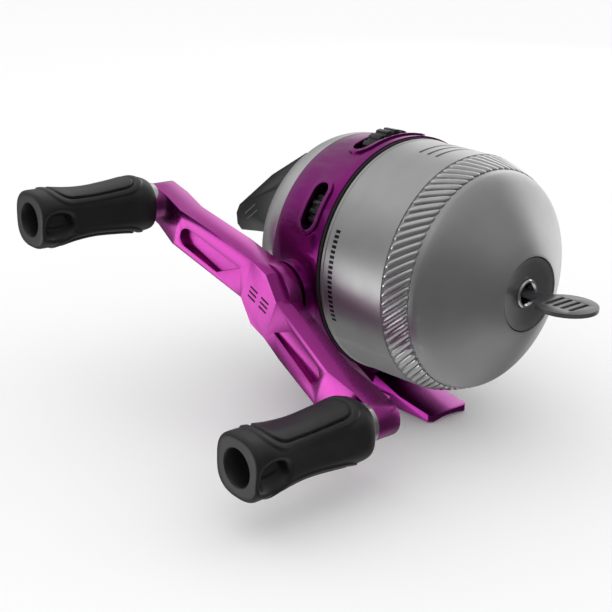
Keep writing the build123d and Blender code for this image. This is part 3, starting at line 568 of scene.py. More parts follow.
def turn_outward(mesh: bpy.types.Mesh, merge: float = 0.0) -> None:
    """Merges a mesh's doubles, if a distance is given, and turns its faces outward.

    Args:
        mesh: the mesh to mend.
        merge: merge distance in metres.
    """
    edit = bmesh.new()
    edit.from_mesh(mesh)
    if merge:
        bmesh.ops.remove_doubles(edit, verts=edit.verts, dist=merge)
        bmesh.ops.dissolve_degenerate(edit, edges=edit.edges, dist=merge)
    bmesh.ops.recalc_face_normals(edit, faces=edit.faces)
    edit.to_mesh(mesh)
    edit.free()


def shade_by_angle(mesh: bpy.types.Mesh, degrees: float) -> None:
    """Smooths a mesh except across edges sharper than an angle.

    Args:
        mesh: the mesh.
        degrees: sharpest angle that stays smooth.
    """
    edit = bmesh.new()
    edit.from_mesh(mesh)
    limit = math.radians(degrees)
    for edge in edit.edges:
        edge.smooth = len(edge.link_faces) == 2 and edge.calc_face_angle(0.0) < limit
    for face in edit.faces:
        face.smooth = True
    edit.to_mesh(mesh)
    edit.free()


def baked(source: bpy.types.Object) -> bpy.types.Object:
    """Turns an object and its modifiers into a plain mesh object of the same name.

    Args:
        source: the object with live modifiers, which is removed.

    Returns:
        The plain object.
    """
    bpy.context.view_layer.update()
    name = source.name
    graph = bpy.context.evaluated_depsgraph_get()
    mesh = bpy.data.meshes.new_from_object(source.evaluated_get(graph))
    bpy.data.objects.remove(source)
    mesh.name = name
    return link_mesh(name, mesh)


def softened(
    node: str, name: str, width_mm: float, segments: int = 2, angle: float = 32.0
) -> bpy.types.Object:
    """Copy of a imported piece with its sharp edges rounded.

    Args:
        node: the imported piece's name.
        name: the copy's name.
        width_mm: width of the rounding.
        segments: its number of steps.
        angle: edges sharper than this many degrees are rounded.

    Returns:
        The copy as a plain object.
    """
    mesh = frame["nodes"][node].data.copy()
    edit = bmesh.new()
    edit.from_mesh(mesh)
    bmesh.ops.remove_doubles(edit, verts=edit.verts, dist=2e-7)
    bmesh.ops.dissolve_limit(edit, angle_limit=math.radians(0.3), verts=edit.verts, edges=edit.edges)
    edit.to_mesh(mesh)
    edit.free()
    if "custom_normal" in mesh.attributes:
        mesh.attributes.remove(mesh.attributes["custom_normal"])
    copy = link_mesh(name, mesh)
    bevel = copy.modifiers.new("rounding", "BEVEL")
    bevel.width = width_mm * MM
    bevel.segments = segments
    bevel.limit_method = "ANGLE"
    bevel.angle_limit = math.radians(angle)
    bevel.use_clamp_overlap = True
    bevel.miter_outer = "MITER_ARC"
    plain = baked(copy)
    shade_by_angle(plain.data, 24.0)
    return plain


def grown(
    tree: bpy.types.NodeTree, name: str, inputs: dict, seed: bpy.types.Mesh | None = None
) -> bpy.types.Object:
    """Runs a Geometry Nodes tree and keeps its result as a plain mesh.

    Args:
        tree: the geometry tree.
        name: the piece's name.
        inputs: values of the tree's inputs by name.
        seed: mesh the tree starts from.

    Returns:
        The finished object.
    """
    holder = link_mesh(name, seed or bpy.data.meshes.new(name))
    modifier = holder.modifiers.new("grow", "NODES")
    modifier.node_group = tree
    sockets = {item.name: item.identifier for item in tree.interface.items_tree if item.in_out == "INPUT"}
    for key, value in inputs.items():
        modifier[sockets[key]] = value
    plain = baked(holder)
    turn_outward(plain.data, 1e-7)
    return plain


def dress(piece: bpy.types.Object, body: str, slot: str, *finishes: Finish) -> bpy.types.Object:
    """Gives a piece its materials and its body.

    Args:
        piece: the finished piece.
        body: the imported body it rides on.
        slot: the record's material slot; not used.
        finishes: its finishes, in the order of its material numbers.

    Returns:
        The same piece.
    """
    piece.data.materials.clear()
    for finish in finishes:
        piece.data.materials.append(finish.material())
    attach(piece, body)
    LOG.info("%s: %d faces on %s", piece.name, len(piece.data.polygons), body)
    return piece


# ---- geometry trees ----
def turned_shell_tree() -> bpy.types.NodeTree:
    """Tree that turns a closed profile, given as a loop of (radius, y) corners, about the main axis."""
    takes = [
        Socket("Geometry", GEOMETRY), Socket("Steps", INTEGER, 160), Socket("Axis Height", FLOAT),
        Socket("Material", MATERIAL)
    ]
    w, given, result = new_group("turned_shell", "GeometryNodeTree", takes, [Socket("Geometry", GEOMETRY)])
    corners = w.add("GeometryNodeAttributeDomainSize", {0: given.outputs["Geometry"]}).outputs["Point Count"]
    rows = w.math("ADD", given.outputs["Steps"], 1.0)
    grid = w.add("GeometryNodeMeshGrid", {"Vertices X": w.math("ADD", corners, 1.0), "Vertices Y": rows})
    number = w.add("GeometryNodeInputIndex").outputs[0]
    row = w.math("FLOORED_MODULO", number, rows)
    column = w.math(
        "FLOORED_MODULO", w.math("FLOOR", w.math("DIVIDE", w.math("ADD", number, 0.5), rows)), corners
    )
    place = w.add("GeometryNodeInputPosition").outputs[0]
    sample = w.add("GeometryNodeSampleIndex", data_type="FLOAT_VECTOR")
    w.feed(sample, "Geometry", given.outputs["Geometry"])
    w.feed(sample, "Value", place)
    w.feed(sample, "Index", column)
    profile = w.add("ShaderNodeSeparateXYZ", {0: sample.outputs[0]})
    turn = w.math(
        "MULTIPLY",
        w.math("DIVIDE", w.math("FLOORED_MODULO", row, given.outputs["Steps"]), given.outputs["Steps"]),
        math.tau
    )
    x = w.math("MULTIPLY", profile.outputs[0], w.math("SINE", turn))
    z = w.math("MULTIPLY_ADD", profile.outputs[0], w.math("COSINE", turn), given.outputs["Axis Height"])
    spot = w.add("ShaderNodeCombineXYZ", {0: x, 1: profile.outputs[1], 2: z})
    placed = w.add("GeometryNodeSetPosition", {"Geometry": grid.outputs[0], "Position": spot.outputs[0]})
    closed = w.add("GeometryNodeMergeByDistance", {"Geometry": placed.outputs[0], "Distance": 1e-6})
    real = w.add("GeometryNodeRealizeInstances", {"Geometry": closed.outputs[0]})
    painted = w.add(
        "GeometryNodeSetMaterial", {"Geometry": real.outputs[0], "Material": given.outputs["Material"]}
    )
    w.feed(result, 0, painted.outputs[0])
    return w.tree


def ridge_band_tree() -> bpy.types.NodeTree:
    """Tree that sets slanted rounded ridges in a row round a cone about the main axis."""
    names = (
        "Count", "Rear Radius", "Front Radius", "Rear Y", "Front Y", "Slant", "Half Width", "Rise",
        "Axis Height"
    )
    takes = [Socket("Geometry", GEOMETRY)]
    takes += [Socket(name, INTEGER if name == "Count" else FLOAT) for name in names]
    takes += [Socket("Material", MATERIAL)]
    w, given, result = new_group("ridge_band", "GeometryNodeTree", takes, [Socket("Geometry", GEOMETRY)])
    get = given.outputs
    along, around = 15, 8
    grid = w.add("GeometryNodeMeshGrid", {"Vertices X": along, "Vertices Y": around + 1})
    number = w.add("GeometryNodeInputIndex").outputs[0]
    side = w.math("FLOORED_MODULO", w.math("FLOORED_MODULO", number, around + 1.0), float(around))
    share = w.math(
        "DIVIDE", w.math("FLOOR", w.math("DIVIDE", w.math("ADD", number, 0.5), around + 1.0)), along - 1.0
    )
    phase = w.math("MULTIPLY", side, math.tau / around)
    swing = w.math("SUBTRACT", w.math("MULTIPLY", share, 2.0), 1.0)
    plump = w.math("SQRT", w.math("SUBTRACT", 1.0, w.math("POWER", w.math("ABSOLUTE", swing), 6.0)))
    span = w.math("SUBTRACT", get["Front Radius"], get["Rear Radius"])
    radius = w.math("MULTIPLY_ADD", span, share, get["Rear Radius"])
    lift = w.math("MULTIPLY", w.math("MULTIPLY", w.math("SINE", phase), plump), get["Rise"])
    width = w.math("MULTIPLY", w.math("MULTIPLY", w.math("COSINE", phase), plump), get["Half Width"])
    turn = w.math("ADD", w.math("MULTIPLY", get["Slant"], share), w.math("DIVIDE", width, radius))
    reach = w.math("ADD", radius, lift)
    x = w.math("MULTIPLY", w.math("MULTIPLY", reach, w.math("SINE", turn)), -1.0)
    y = w.math("MULTIPLY_ADD", w.math("SUBTRACT", get["Front Y"], get["Rear Y"]), share, get["Rear Y"])
    z = w.math("MULTIPLY", reach, w.math("COSINE", turn))
    spot = w.add("ShaderNodeCombineXYZ", {0: x, 1: y, 2: z})
    ridge = w.add("GeometryNodeSetPosition", {"Geometry": grid.outputs[0], "Position": spot.outputs[0]})
    closed = w.add("GeometryNodeMergeByDistance", {"Geometry": ridge.outputs[0], "Distance": 1e-6})
    row = w.add("GeometryNodeMeshLine", {"Count": get["Count"], "Offset": (0.0, 0.0, 0.0)})
    centre = w.add("ShaderNodeCombineXYZ", {2: get["Axis Height"]})
    points = w.add("GeometryNodeSetPosition", {"Geometry": row.outputs[0], "Position": centre.outputs[0]})
    angle = w.math(
        "MULTIPLY", w.math("DIVIDE", w.add("GeometryNodeInputIndex").outputs[0], get["Count"]), math.tau
    )
    spin = w.add("ShaderNodeCombineXYZ", {1: angle})
    copies = w.add(
        "GeometryNodeInstanceOnPoints",
        {"Points": points.outputs[0], "Instance": closed.outputs[0], "Rotation": spin.outputs[0]}
    )
    real = w.add("GeometryNodeRealizeInstances", {"Geometry": copies.outputs[0]})
    painted = w.add("GeometryNodeSetMaterial", {"Geometry": real.outputs[0], "Material": get["Material"]})
    w.feed(result, 0, painted.outputs[0])
    return w.tree


def bar_row_tree() -> bpy.types.NodeTree:
    """Tree that sets small round-ended bars in a row along a line."""
    takes = [
        Socket("Geometry", GEOMETRY), Socket("Count", INTEGER, 3), Socket("Start", VECTOR),
        Socket("Step", VECTOR)
    ]
    takes += [
        Socket("Lean", VECTOR), Socket("Length", FLOAT), Socket("Radius", FLOAT), Socket("Flatness", FLOAT),
        Socket("Material", MATERIAL)
    ]
    w, given, result = new_group("bar_row", "GeometryNodeTree", takes, [Socket("Geometry", GEOMETRY)])
    get = given.outputs
    row = w.add(
        "GeometryNodeMeshLine",
        {"Count": get["Count"], "Start Location": get["Start"], "Offset": get["Step"]}
    )
    ball = w.add("GeometryNodeMeshUVSphere", {"Segments": 16, "Rings": 10, "Radius": get["Radius"]})
    place = w.add("ShaderNodeSeparateXYZ", {0: w.add("GeometryNodeInputPosition").outputs[0]})
    half = w.math("SUBTRACT", w.math("MULTIPLY", get["Length"], 0.5), get["Radius"])
    pull = w.math("MULTIPLY", w.math("SIGN", place.outputs[2]), half)
    flat = w.math("MULTIPLY", place.outputs[0], get["Flatness"])
    spot = w.add(
        "ShaderNodeCombineXYZ", {0: flat, 1: place.outputs[1], 2: w.math("ADD", place.outputs[2], pull)}
    )
    bar = w.add("GeometryNodeSetPosition", {"Geometry": ball.outputs[0], "Position": spot.outputs[0]})
    copies = w.add(
        "GeometryNodeInstanceOnPoints",
        {"Points": row.outputs[0], "Instance": bar.outputs[0], "Rotation": get["Lean"]}
    )
    real = w.add("GeometryNodeRealizeInstances", {"Geometry": copies.outputs[0]})
    painted = w.add("GeometryNodeSetMaterial", {"Geometry": real.outputs[0], "Material": get["Material"]})
    w.feed(result, 0, painted.outputs[0])
    return w.tree


def eased(points: Sequence[tuple[float, float]], steps: int) -> list[tuple[float, float]]:
    """Smooth line through corners of a profile.

    Args:
        points: (radius, y) corners.
        steps: points between two corners.

    Returns:
        The finer profile, first and last corner included.
    """
    ends = [points[0], *points, points[-1]]
    line = []
    for a, b, c, d in zip(ends, ends[1:], ends[2:], ends[3:]):
        for k in range(steps):
            t = k / steps
            blend = [
                0.5 * (
                    2 * q + (r - p) * t + (2 * p - 5 * q + 4 * r - s) * t * t + (3 * q - p - 3 * r + s) * t**3
                )
                for p, q, r, s in zip(a, b, c, d)
            ]
            line.append((blend[0], blend[1]))
    return [*line, points[-1]]


def profile_mesh(name: str, corners: Sequence[tuple[float, float]]) -> bpy.types.Mesh:
    """Loop of (radius, y) corners in millimetres as a mesh of points."""
    mesh = bpy.data.meshes.new(name)
    mesh.from_pydata([(r * MM, y * MM, 0.0) for r, y in corners], [], [])
    return mesh


# ---- sub-assemblies ----
@dataclass
class FrontCover:
    """Drawn silver cover with its rolled rear edge, slanted grip band and domed nose."""

    wall_mm: float = 1.3
    wall_share: float = 0.75
    rear: tuple[float, float] = (33.0, -10.65)
    band_rear: tuple[float, float] = (32.24, -33.03)
    band_front: tuple[float, float] = (29.6, -39.68)
    dome: tuple[tuple[float, float], ...] = (
        (29.42, -40.1), (28.9, -41.3), (27.75, -42.65), (26.0, -44.05), (23.4, -45.85), (18.4, -49.15),
        (13.6, -52.2), (10.5, -53.85),
    )
    nose: tuple[float, float] = (10.0, -54.0)
    ridges: int = 80
    slant_deg: float = -11.0
    ridge_half_width: float = 1.08
    ridge_rise: float = 0.5
    steps: int = 256

    def outline(self) -> list[tuple[float, float]]:
        """Outer side of the cover from its rear edge to the nose."""
        r, y = self.rear
        rear_lip = [(r - 0.55, y), (r - 0.15, y - 0.12), (r, y - 0.4), (r, y - 1.1), (r - 0.18, y - 1.35)]
        br, by = self.band_rear
        fr, fy = self.band_front
        band = [(br + 0.06, by + 0.35), (br - 0.34, by + 0.2), (fr - 0.34, fy), (fr - 0.1, fy - 0.15)]
        return rear_lip + band + eased(self.dome, 6) + [self.nose]

    def build(self) -> bpy.types.Object:
        """Builds the shell as one turned piece with a wall."""
        outer = self.outline()
        step = self.wall_mm * self.wall_share
        behind = self.rear[1] - 0.5
        inner = [(r - step, y + step) for r, y in reversed(outer) if y < behind]
        inner = [(9.7, self.nose[1] + self.wall_mm)] + [p for p in inner if p[0] > 10.3]
        inner += [(self.rear[0] - self.wall_mm, self.rear[1])]
        seed = profile_mesh("cover_profile", outer + inner)
        inputs = {"Steps": self.steps, "Axis Height": AXIS_HEIGHT * MM, "Material": SATIN.material()}
        shell = grown(turned_shell_tree(), "cover_shell", inputs, seed)
        shade_by_angle(shell.data, 28.0)
        return shell

    def build_band(self) -> bpy.types.Object:
        """Builds the slanted ridges of the grip band."""
        inputs = {
            "Count": self.ridges, "Rear Radius": (self.band_rear[0] - 0.18) * MM,
            "Front Radius": (self.band_front[0] - 0.16) * MM,
            "Rear Y": (self.band_rear[1] + 0.35) * MM, "Front Y": (self.band_front[1] - 0.2) * MM,
            "Slant": math.radians(self.slant_deg), "Half Width": self.ridge_half_width * MM,
            "Rise": self.ridge_rise * MM,
            "Axis Height": AXIS_HEIGHT * MM,
            "Material": GRIP_HIGHLIGHT_SILVER.material(),
        }
        band = grown(ridge_band_tree(), "cover_grip_band", inputs)
        shade_by_angle(band.data, 60.0)
        return band

    def dress(self) -> None:
        """Places both pieces on the cover's body."""
        shell = dress(self.build(), "cover", "satin_silver", SATIN)
        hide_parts("front_cover")
        dress(self.build_band(), "cover", "satin_silver", GRIP_HIGHLIGHT_SILVER)


class Side(Enum):
    """The two ends of the double handle."""

    NEAR = 1
    FAR = -1


@dataclass(frozen=True)
class Knob:
    """Soft grip with flared ends, two grained pads in grooves, an end hole and a side window."""

    side: Side
    throw_mm: float = 48.83
    arm_angle_deg: float = 22.04
    inner_x: float = -51.0
    outer_x: float = -86.7
    hole_r: float = 4.5
    hole_depth: float = 8.0
    bore_r: float = 2.3
    squareness: float = 2.55
    end_fillet: float = 1.1
    mean_reach: float = 7.3
    groove_depth: float = 0.62
    groove_width: float = 0.34
    pad_step: float = 0.42
    pad_step_out: float = 2.2
    pad_crown: float = 0.12
    side_hollow: float = 0.75
    window_along: float = 30.2
    window_half: tuple[float, float] = (4.3, 3.3)
    window_depth: float = 3.3
    stations: tuple[tuple[float, float, float], ...] = (
        (0.0, 14.8, 14.2), (0.1, 16.2, 15.0), (0.28, 14.9, 13.7), (0.5, 13.7, 12.7), (0.68, 14.1, 13.4),
        (0.86, 15.9, 15.2),
        (1.0, 16.0, 15.4),
    )
    rings: int = 190
    spokes: int = 232

    @property
    def body(self) -> str:
        """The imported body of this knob."""
        return f"{self.side.name.lower()}_grip"

    def centre(self) -> tuple[float, float]:
        """(y, z) of the knob's axis."""
        turn = math.radians(self.arm_angle_deg)
        reach = -self.side.value * self.throw_mm
        return reach * math.cos(turn), CRANK_HEIGHT + reach * math.sin(turn)

    @lru_cache(maxsize=None)
    def size_at(self, share: float) -> tuple[float, float]:
        """Width and height of the section at a share of the length from the inner end."""
        sizes = []
        for column in (1, 2):
            line = eased([(s[0], s[column]) for s in self.stations], 12)
            for (s0, v0), (s1, v1) in zip(line, line[1:]):
                if s0 <= share <= s1 + 1e-9:
                    sizes.append(v0 + (v1 - v0) * (share - s0) / max(s1 - s0, 1e-9))
                    break
        return sizes[0], sizes[1]

    def pad_distance(self, along: float, across: float) -> float:
        """Distance outside the pad's outline, negative inside, from places in millimetres."""
        half_length, half_width, corner = 12.4, 5.0 + 0.05 * (along - 17.5), 4.2
        dx = abs(along - 17.0) - (half_length - corner)
        dy = abs(across) - (half_width - corner)
        outside = math.hypot(max(dx, 0.0), max(dy, 0.0))
        return outside + min(max(dx, dy), 0.0) - corner

    def relief(self, share: float, turn: float) -> float:
        """Height of the surface over its plain section, in millimetres.

        Args:
            share: place along the knob, 0 at its inner end.
            turn: angle round the knob, 0 at -Y and a quarter turn at the top.

        Returns:
            The height, negative for a hollow.
        """
        along = share * (self.inner_x - self.outer_x)
        height = 0.0
        for middle in (math.pi / 2, -math.pi / 2):
            gap = (turn - middle + math.pi) % math.tau - math.pi
            if abs(gap) < 1.5:
                d = self.pad_distance(along, gap * self.mean_reach)
                groove = self.groove_depth * math.exp(-((d / self.groove_width) ** 2))
                step = self.pad_step / (1.0 + math.exp((d - self.pad_step_out) / 0.1))
                crown = self.pad_crown if d < -0.4 else 0.0
                height += step + crown - groove
        for middle in (0.0, math.pi):
            gap = (turn - middle + math.pi) % math.tau - math.pi
            from_inner = 1.0 + math.exp(-(share - 0.16) / 0.025)
            from_outer = 1.0 + math.exp((share - 0.97) / 0.02)
            middle_share = 1.0 / from_inner / from_outer
            height -= self.side_hollow * math.exp(-((gap / 0.42) ** 2)) * middle_share
        low = (turn + 0.18 + math.pi) % math.tau - math.pi
        half_long, half_wide = self.window_half
        oval = math.hypot((along - self.window_along) / half_long, low * 7.4 / half_wide)
        height -= self.window_depth / (1.0 + math.exp((oval - 1.0) / 0.035))
        height -= 0.35 / (1.0 + math.exp((oval - 1.25) / 0.04))
        return height

    def section(self, share: float, turn: float, inset: float) -> tuple[float, float]:
        """(y, z) offset of a surface point from the knob's axis."""
        width, tall = self.size_at(share)
        power = 2.0 / self.squareness
        c, s = -math.cos(turn), math.sin(turn)
        y = math.copysign(abs(c) ** power, c) * width / 2
        z = math.copysign(abs(s) ** power, s) * tall / 2
        reach = math.hypot(y, z)
        factor = (reach - inset + self.relief(share, turn)) / reach
        return y * factor, z * factor

    def build(self) -> bpy.types.Object:
        """Builds the knob as one closed mesh with the pads as its second material."""
        y0, z0 = self.centre()
        length = self.inner_x - self.outer_x
        fillet = self.end_fillet
        turns = [math.tau * k / self.spokes for k in range(self.spokes)]
        corners: list[Point] = []
        shares: list[float] = []
        for ring in range(self.rings + 1):
            share = ring / self.rings
            end = min(share, 1 - share) * length
            inset = fillet - math.sqrt(max(0.0, fillet**2 - (fillet - end) ** 2)) if end < fillet else 0.0
            for turn in turns:
                y, z = self.section(share, turn, inset)
                corners.append((self.inner_x - share * length, y0 + y, z0 + z))
            shares.append(share)
        inner_rim = corners[: self.spokes]
        outer_rim = corners[-self.spokes :]

        def disc_ring(rim: Sequence[Point], x: float, radius: float, blend: float) -> None:
            """Adds a ring between the rim and a circle."""
            for point, turn in zip(rim, turns):
                y = y0 - radius * math.cos(turn)
                z = z0 + radius * math.sin(turn)
                corners.append((x, point[1] + (y - point[1]) * blend, point[2] + (z - point[2]) * blend))

        for blend in (0.35, 0.7, 0.95):
            disc_ring(outer_rim, self.outer_x, self.hole_r + 0.25, blend)
        walls = [(self.outer_x, self.hole_r + 0.25), (self.outer_x + 0.25, self.hole_r)]
        walls += [
            (self.outer_x + 0.6 * self.hole_depth, self.hole_r),
            (self.outer_x + self.hole_depth, self.hole_r - 0.15)
        ]
        walls += [(self.outer_x + self.hole_depth, self.bore_r), (self.inner_x, self.bore_r)]
        for x, radius in walls:
            disc_ring(outer_rim, x, radius, 1.0)
        for blend in (0.95, 0.5):
            disc_ring(inner_rim, self.inner_x, self.bore_r, blend)
        count = len(corners) // self.spokes
        faces = []
        for ring in range(count):
            after = (ring + 1) % count
            for k in range(self.spokes):
                nxt = (k + 1) % self.spokes
                here, there = ring * self.spokes, after * self.spokes
                faces.append((here + k, here + nxt, there + nxt, there + k))
        mesh = mesh_from(f"knob_{self.side.name.lower()}_grip", corners, faces)
        for number, face in enumerate(mesh.polygons):
            ring, k = divmod(number, self.spokes)
            if ring < self.rings:
                gap = min(abs(turns[k] - math.pi / 2), abs(turns[k] - 3 * math.pi / 2))
                along = (ring + 0.5) / self.rings * length
                inside = self.pad_distance(along, gap * self.mean_reach) < -0.25
                face.material_index = int(inside)
        shade_by_angle(mesh, 50.0)
        return link_mesh(f"knob_{self.side.name.lower()}_grip", mesh)

    def dress(self) -> None:
        """Places the knob on its own body."""
        knob = dress(self.build(), self.body, "black_soft", SOFT_BLACK, PAD_LEATHER)
        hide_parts(f"knob_{self.side.name.lower()}")


@dataclass
class Handle:
    """Double handle with softened machined edges and two plain groups of bars on its hub."""

    edge_mm: float = 0.5
    arm_angle_deg: float = 22.04
    mark_bars: int = 3
    mark_pitch_mm: float = 1.45
    mark_offset_mm: float = 2.5
    mark_length_mm: float = 3.4
    mark_radius_mm: float = 0.33
    mark_face_x: float = -45.0

    def mark(self, along: float) -> dict:
        """Inputs of one group of bars, centred at a distance along the arms from the hub."""
        c, s = math.cos(math.radians(self.arm_angle_deg)), math.sin(math.radians(self.arm_angle_deg))
        first = -self.mark_pitch_mm * (self.mark_bars - 1) / 2
        return {
            "Count": self.mark_bars,
            "Start": Vector(
                (self.mark_face_x, s * first - c * along, CRANK_HEIGHT - s * along - c * first)
            ) * MM,
            "Step": Vector((0.0, s, -c)) * self.mark_pitch_mm * MM,
            "Lean": (math.radians(self.arm_angle_deg - 90.0), 0.0, 0.0),
            "Length": self.mark_length_mm * MM, "Radius": self.mark_radius_mm * MM, "Flatness": 0.2,
            "Material": MARK.material(),
        }

    def dress(self) -> None:
        """Builds and places the arm and the hub's mark."""
        arm = dress(
            softened("handle_arm", "handle_double_arm", self.edge_mm, 2), "crank", "anodised_magenta",
            ANODISED
        )
        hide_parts("handle_arm")
        for number, along in enumerate((-self.mark_offset_mm, self.mark_offset_mm)):
            bars = grown(bar_row_tree(), f"hub_mark_{number + 1}", self.mark(along))
            dress(bars, "crank", "anodised_magenta", MARK)


@dataclass
class Body:
    """Ring, stem and foot casting, the rear cover and the two thumb wheels, with softened edges."""

    ring_edge_mm: float = 0.28
    cover_edge_mm: float = 0.3
    wheel_edge_mm: float = 0.16
    keeper_edge_mm: float = 0.12

    def dress(self) -> None:
        """Builds and places the softened copies."""
        plan = (
            ("body_frame", "body_casting", self.ring_edge_mm, "frame", "anodised_magenta", ANODISED_CAST),
            ("back_cover", "rear_dome_cover", self.cover_edge_mm, "frame", "satin_silver", SATIN_REAR),
            ("drag_wheel", "drag_thumb_wheel", self.wheel_edge_mm, "drag", "black_gloss", BLACK_GLOSS),
            ("alert_wheel", "alert_thumb_wheel", self.wheel_edge_mm, "alert", "black_gloss", BLACK_GLOSS),
            ("line_keeper", "keeper_tab", self.keeper_edge_mm, "keeper", "keeper_smoke", KEEPER),
        )
        for node, name, width, body, slot, finish in plan:
            piece = dress(softened(node, name, width, 2), body, slot, finish)
            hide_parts(node)


@dataclass
class ThumbButton:
    """Wide rear button with rounded edges and two raised ribs on each side near its tip."""

    edge_mm: float = 0.7
    half_width: float = 14.0
    rib_place: tuple[float, float] = (43.2, 4.6)
    rib_step: tuple[float, float] = (-1.1, -1.5)
    rib_lean_deg: float = 52.2
    rib_count: int = 2
    rib_length: float = 7.0
    rib_radius: float = 0.4

    def dress(self) -> None:
        """Builds and places the button and its ribs."""
        button = dress(
            softened("thumb_button", "thumb_button_blade", self.edge_mm, 3), "button", "black_gloss",
            BLACK_GLOSS
        )
        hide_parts("thumb_button")
        y, rise = self.rib_place
        for side in (-1.0, 1.0):
            inputs = {
                "Count": self.rib_count,
                "Start": Vector((side * self.half_width, y, AXIS_HEIGHT + rise)) * MM,
                "Step": Vector((0.0, *self.rib_step)) * MM,
                "Lean": (math.radians(self.rib_lean_deg), 0.0, 0.0),
                "Length": self.rib_length * MM, "Radius": self.rib_radius * MM, "Flatness": 0.35,
                "Material": BLACK_GLOSS.material(),
            }
            ribs = grown(bar_row_tree(), f"button_ribs_{'near' if side < 0 else 'away'}", inputs)
            dress(ribs, "button", "black_gloss", BLACK_GLOSS)


@dataclass
class PackedPieces:
    """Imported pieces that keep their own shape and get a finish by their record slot."""

    special: dict[str, Finish] = field(default_factory=dict)

    def dress(self) -> None:
        """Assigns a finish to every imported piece."""
        slots = {part["node"]: part["material_slot"] for part in frame["record"]["subparts"]}
        for node, piece in frame["nodes"].items():
            finish = self.special.get(node, SLOT_FINISH[slots[node]])
            piece.data.materials.clear()
            piece.data.materials.append(finish.material())
            LOG.info("%s: %s", node, finish.name)


# ---- studio ----
@dataclass(frozen=True)
class Softbox:
    """A rectangular soft light aimed at the reel."""

    name: str
    place: Point
    size: tuple[float, float]
    power: float

    def build(self, target: Vector) -> None:
        """Adds the light, aimed at a point."""
        data = bpy.data.lights.new(self.name, "AREA")
        data.shape = "RECTANGLE"
        data.size, data.size_y = self.size
        data.energy = self.power
        lamp = bpy.data.objects.new(self.name, data)
        lamp.location = self.place
        lamp.rotation_mode = "QUATERNION"
        lamp.rotation_quaternion = (target - Vector(self.place)).to_track_quat("-Z", "Y")
        bpy.context.scene.collection.objects.link(lamp)


@dataclass(frozen=True)
class Card:
    """A large pale card round the set, seen only in the reel's gloss."""

    heading_deg: float
    height_deg: float
    inner_deg: float
    outer_deg: float
    strength: float

    def direction(self) -> Vector:
        """Unit vector from the reel to the card. Heading 0 is to the front and -90 is the handle side."""
        a, e = math.radians(self.heading_deg), math.radians(self.height_deg)
        return Vector((math.sin(a) * math.cos(e), -math.cos(a) * math.cos(e), math.sin(e)))


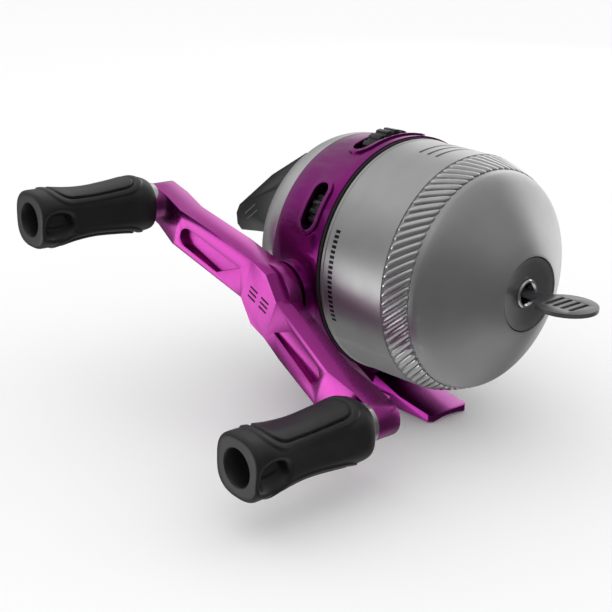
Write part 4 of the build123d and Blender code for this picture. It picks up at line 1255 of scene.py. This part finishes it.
@dataclass
class Studio:
    """Camera, pale floor, soft lights and reflected cards."""

    camera_place: Point = (-0.22174, -0.22070, 0.12966)
    azimuth_deg: float = -41.27
    elevation_deg: float = 18.73
    roll_deg: float = 1.59
    lens_mm: float = 66.14
    floor_z: float = -0.0004
    floor_half: float = 30.0
    aim: Point = (-0.01, -0.01, 0.035)
    lights: tuple[Softbox, ...] = (
        Softbox("key_softbox", (-0.75, -0.15, 0.85), (0.7, 0.7), 0.4),
        Softbox("front_softbox", (0.15, -0.95, 0.75), (0.6, 0.5), 0.08),
        Softbox("rim_softbox", (0.8, 0.35, 0.5), (0.5, 0.8), 0.4),
    )
    cards: tuple[Card, ...] = (
        Card(0.0, 90.0, 10.0, 85.0, 0.34),
        Card(0.0, -90.0, 5.0, 60.0, 0.45),
        Card(172.0, 42.0, 10.0, 60.0, 0.36),
        Card(-128.0, -20.0, 6.0, 26.0, 1.9),
        Card(-140.0, 10.0, 20.0, 60.0, 0.16),
        Card(102.0, 8.0, 18.0, 48.0, 1.3),
    )
    surround: float = 0.09
    floor_light: float = 1.05

    def camera(self) -> None:
        """Places the camera with its heading, tilt and roll."""
        a, e, r = (math.radians(v) for v in (self.azimuth_deg, self.elevation_deg, self.roll_deg))
        back = Vector((math.sin(a) * math.cos(e), -math.cos(a) * math.cos(e), math.sin(e)))
        level = Vector((math.cos(a), math.sin(a), 0.0))
        upright = back.cross(level)
        right = level * math.cos(r) + upright * math.sin(r)
        up = upright * math.cos(r) - level * math.sin(r)
        data = bpy.data.cameras.new("studio_camera")
        data.lens = self.lens_mm
        data.sensor_width = 36.0
        data.clip_start = 0.01
        data.clip_end = 50.0
        camera = bpy.data.objects.new("studio_camera", data)
        turn = Matrix((right, up, back)).transposed().to_4x4()
        camera.matrix_world = Matrix.Translation(self.camera_place) @ turn
        bpy.context.scene.collection.objects.link(camera)
        bpy.context.scene.camera = camera

    def floor(self) -> None:
        """Adds a wide pale floor just under the foot."""
        half = self.floor_half
        corners = [
            (-half, -half, self.floor_z), (half, -half, self.floor_z), (half, half, self.floor_z),
            (-half, half, self.floor_z)
        ]
        mesh = bpy.data.meshes.new("floor")
        mesh.from_pydata(corners, [], [(0, 1, 2, 3)])
        paper = bpy.data.materials.new("pale_floor")
        paper.use_nodes = True
        shader = paper.node_tree.nodes["Principled BSDF"]
        shader.inputs["Base Color"].default_value = (0.93, 0.93, 0.93, 1.0)
        shader.inputs["Roughness"].default_value = 0.9
        shader.inputs["Specular IOR Level"].default_value = 0.1
        mesh.materials.append(paper)
        floor = link_mesh("floor", mesh)
        floor.visible_glossy = False

    def sky(self) -> None:
        """Sets an even pale surround for the floor and a dimmer one with cards for the gloss."""
        world = bpy.data.worlds.new("studio_surround")
        world.use_nodes = True
        world.node_tree.nodes.clear()
        w = Wiring(world.node_tree)
        heading = w.add("ShaderNodeTexCoord").outputs["Generated"]
        light = None
        for card in self.cards:
            facing = w.add(
                "ShaderNodeVectorMath", {0: heading, 1: card.direction()}, operation="DOT_PRODUCT"
            ).outputs["Value"]
            limits = {
                0: facing, 1: math.cos(math.radians(card.outer_deg)),
                2: math.cos(math.radians(card.inner_deg)),
                3: 0.0, 4: card.strength,
            }
            glow = w.add("ShaderNodeMapRange", limits, interpolation_type="SMOOTHSTEP").outputs[0]
            light = w.math("ADD", glow, light if light else self.surround)
        glossy = w.add("ShaderNodeLightPath").outputs["Is Glossy Ray"]
        level = w.math(
            "ADD", w.math("MULTIPLY", glossy, light),
            w.math("MULTIPLY", w.math("SUBTRACT", 1.0, glossy), self.floor_light)
        )
        background = w.add("ShaderNodeBackground", {"Color": (1.0, 1.0, 1.0, 1.0), "Strength": level})
        w.add("ShaderNodeOutputWorld", {"Surface": background.outputs[0]})
        bpy.context.scene.world = world

    def build(self) -> None:
        """Builds the whole studio."""
        self.camera()
        self.floor()
        self.sky()
        for light in self.lights:
            light.build(Vector(self.aim))
        bpy.context.scene.view_settings.view_transform = "Standard"


def main() -> None:
    """Builds the studio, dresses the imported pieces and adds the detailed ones."""
    logging.basicConfig(level=logging.INFO, format="%(name)s %(message)s")
    Studio().build()
    PackedPieces(special={"front_cover": SATIN, "body_frame": ANODISED_CAST}).dress()
    FrontCover().dress()
    Body().dress()
    ThumbButton().dress()
    Handle().dress()
    for side in Side:
        Knob(side).dress()


if __name__ == "__main__":
    main()
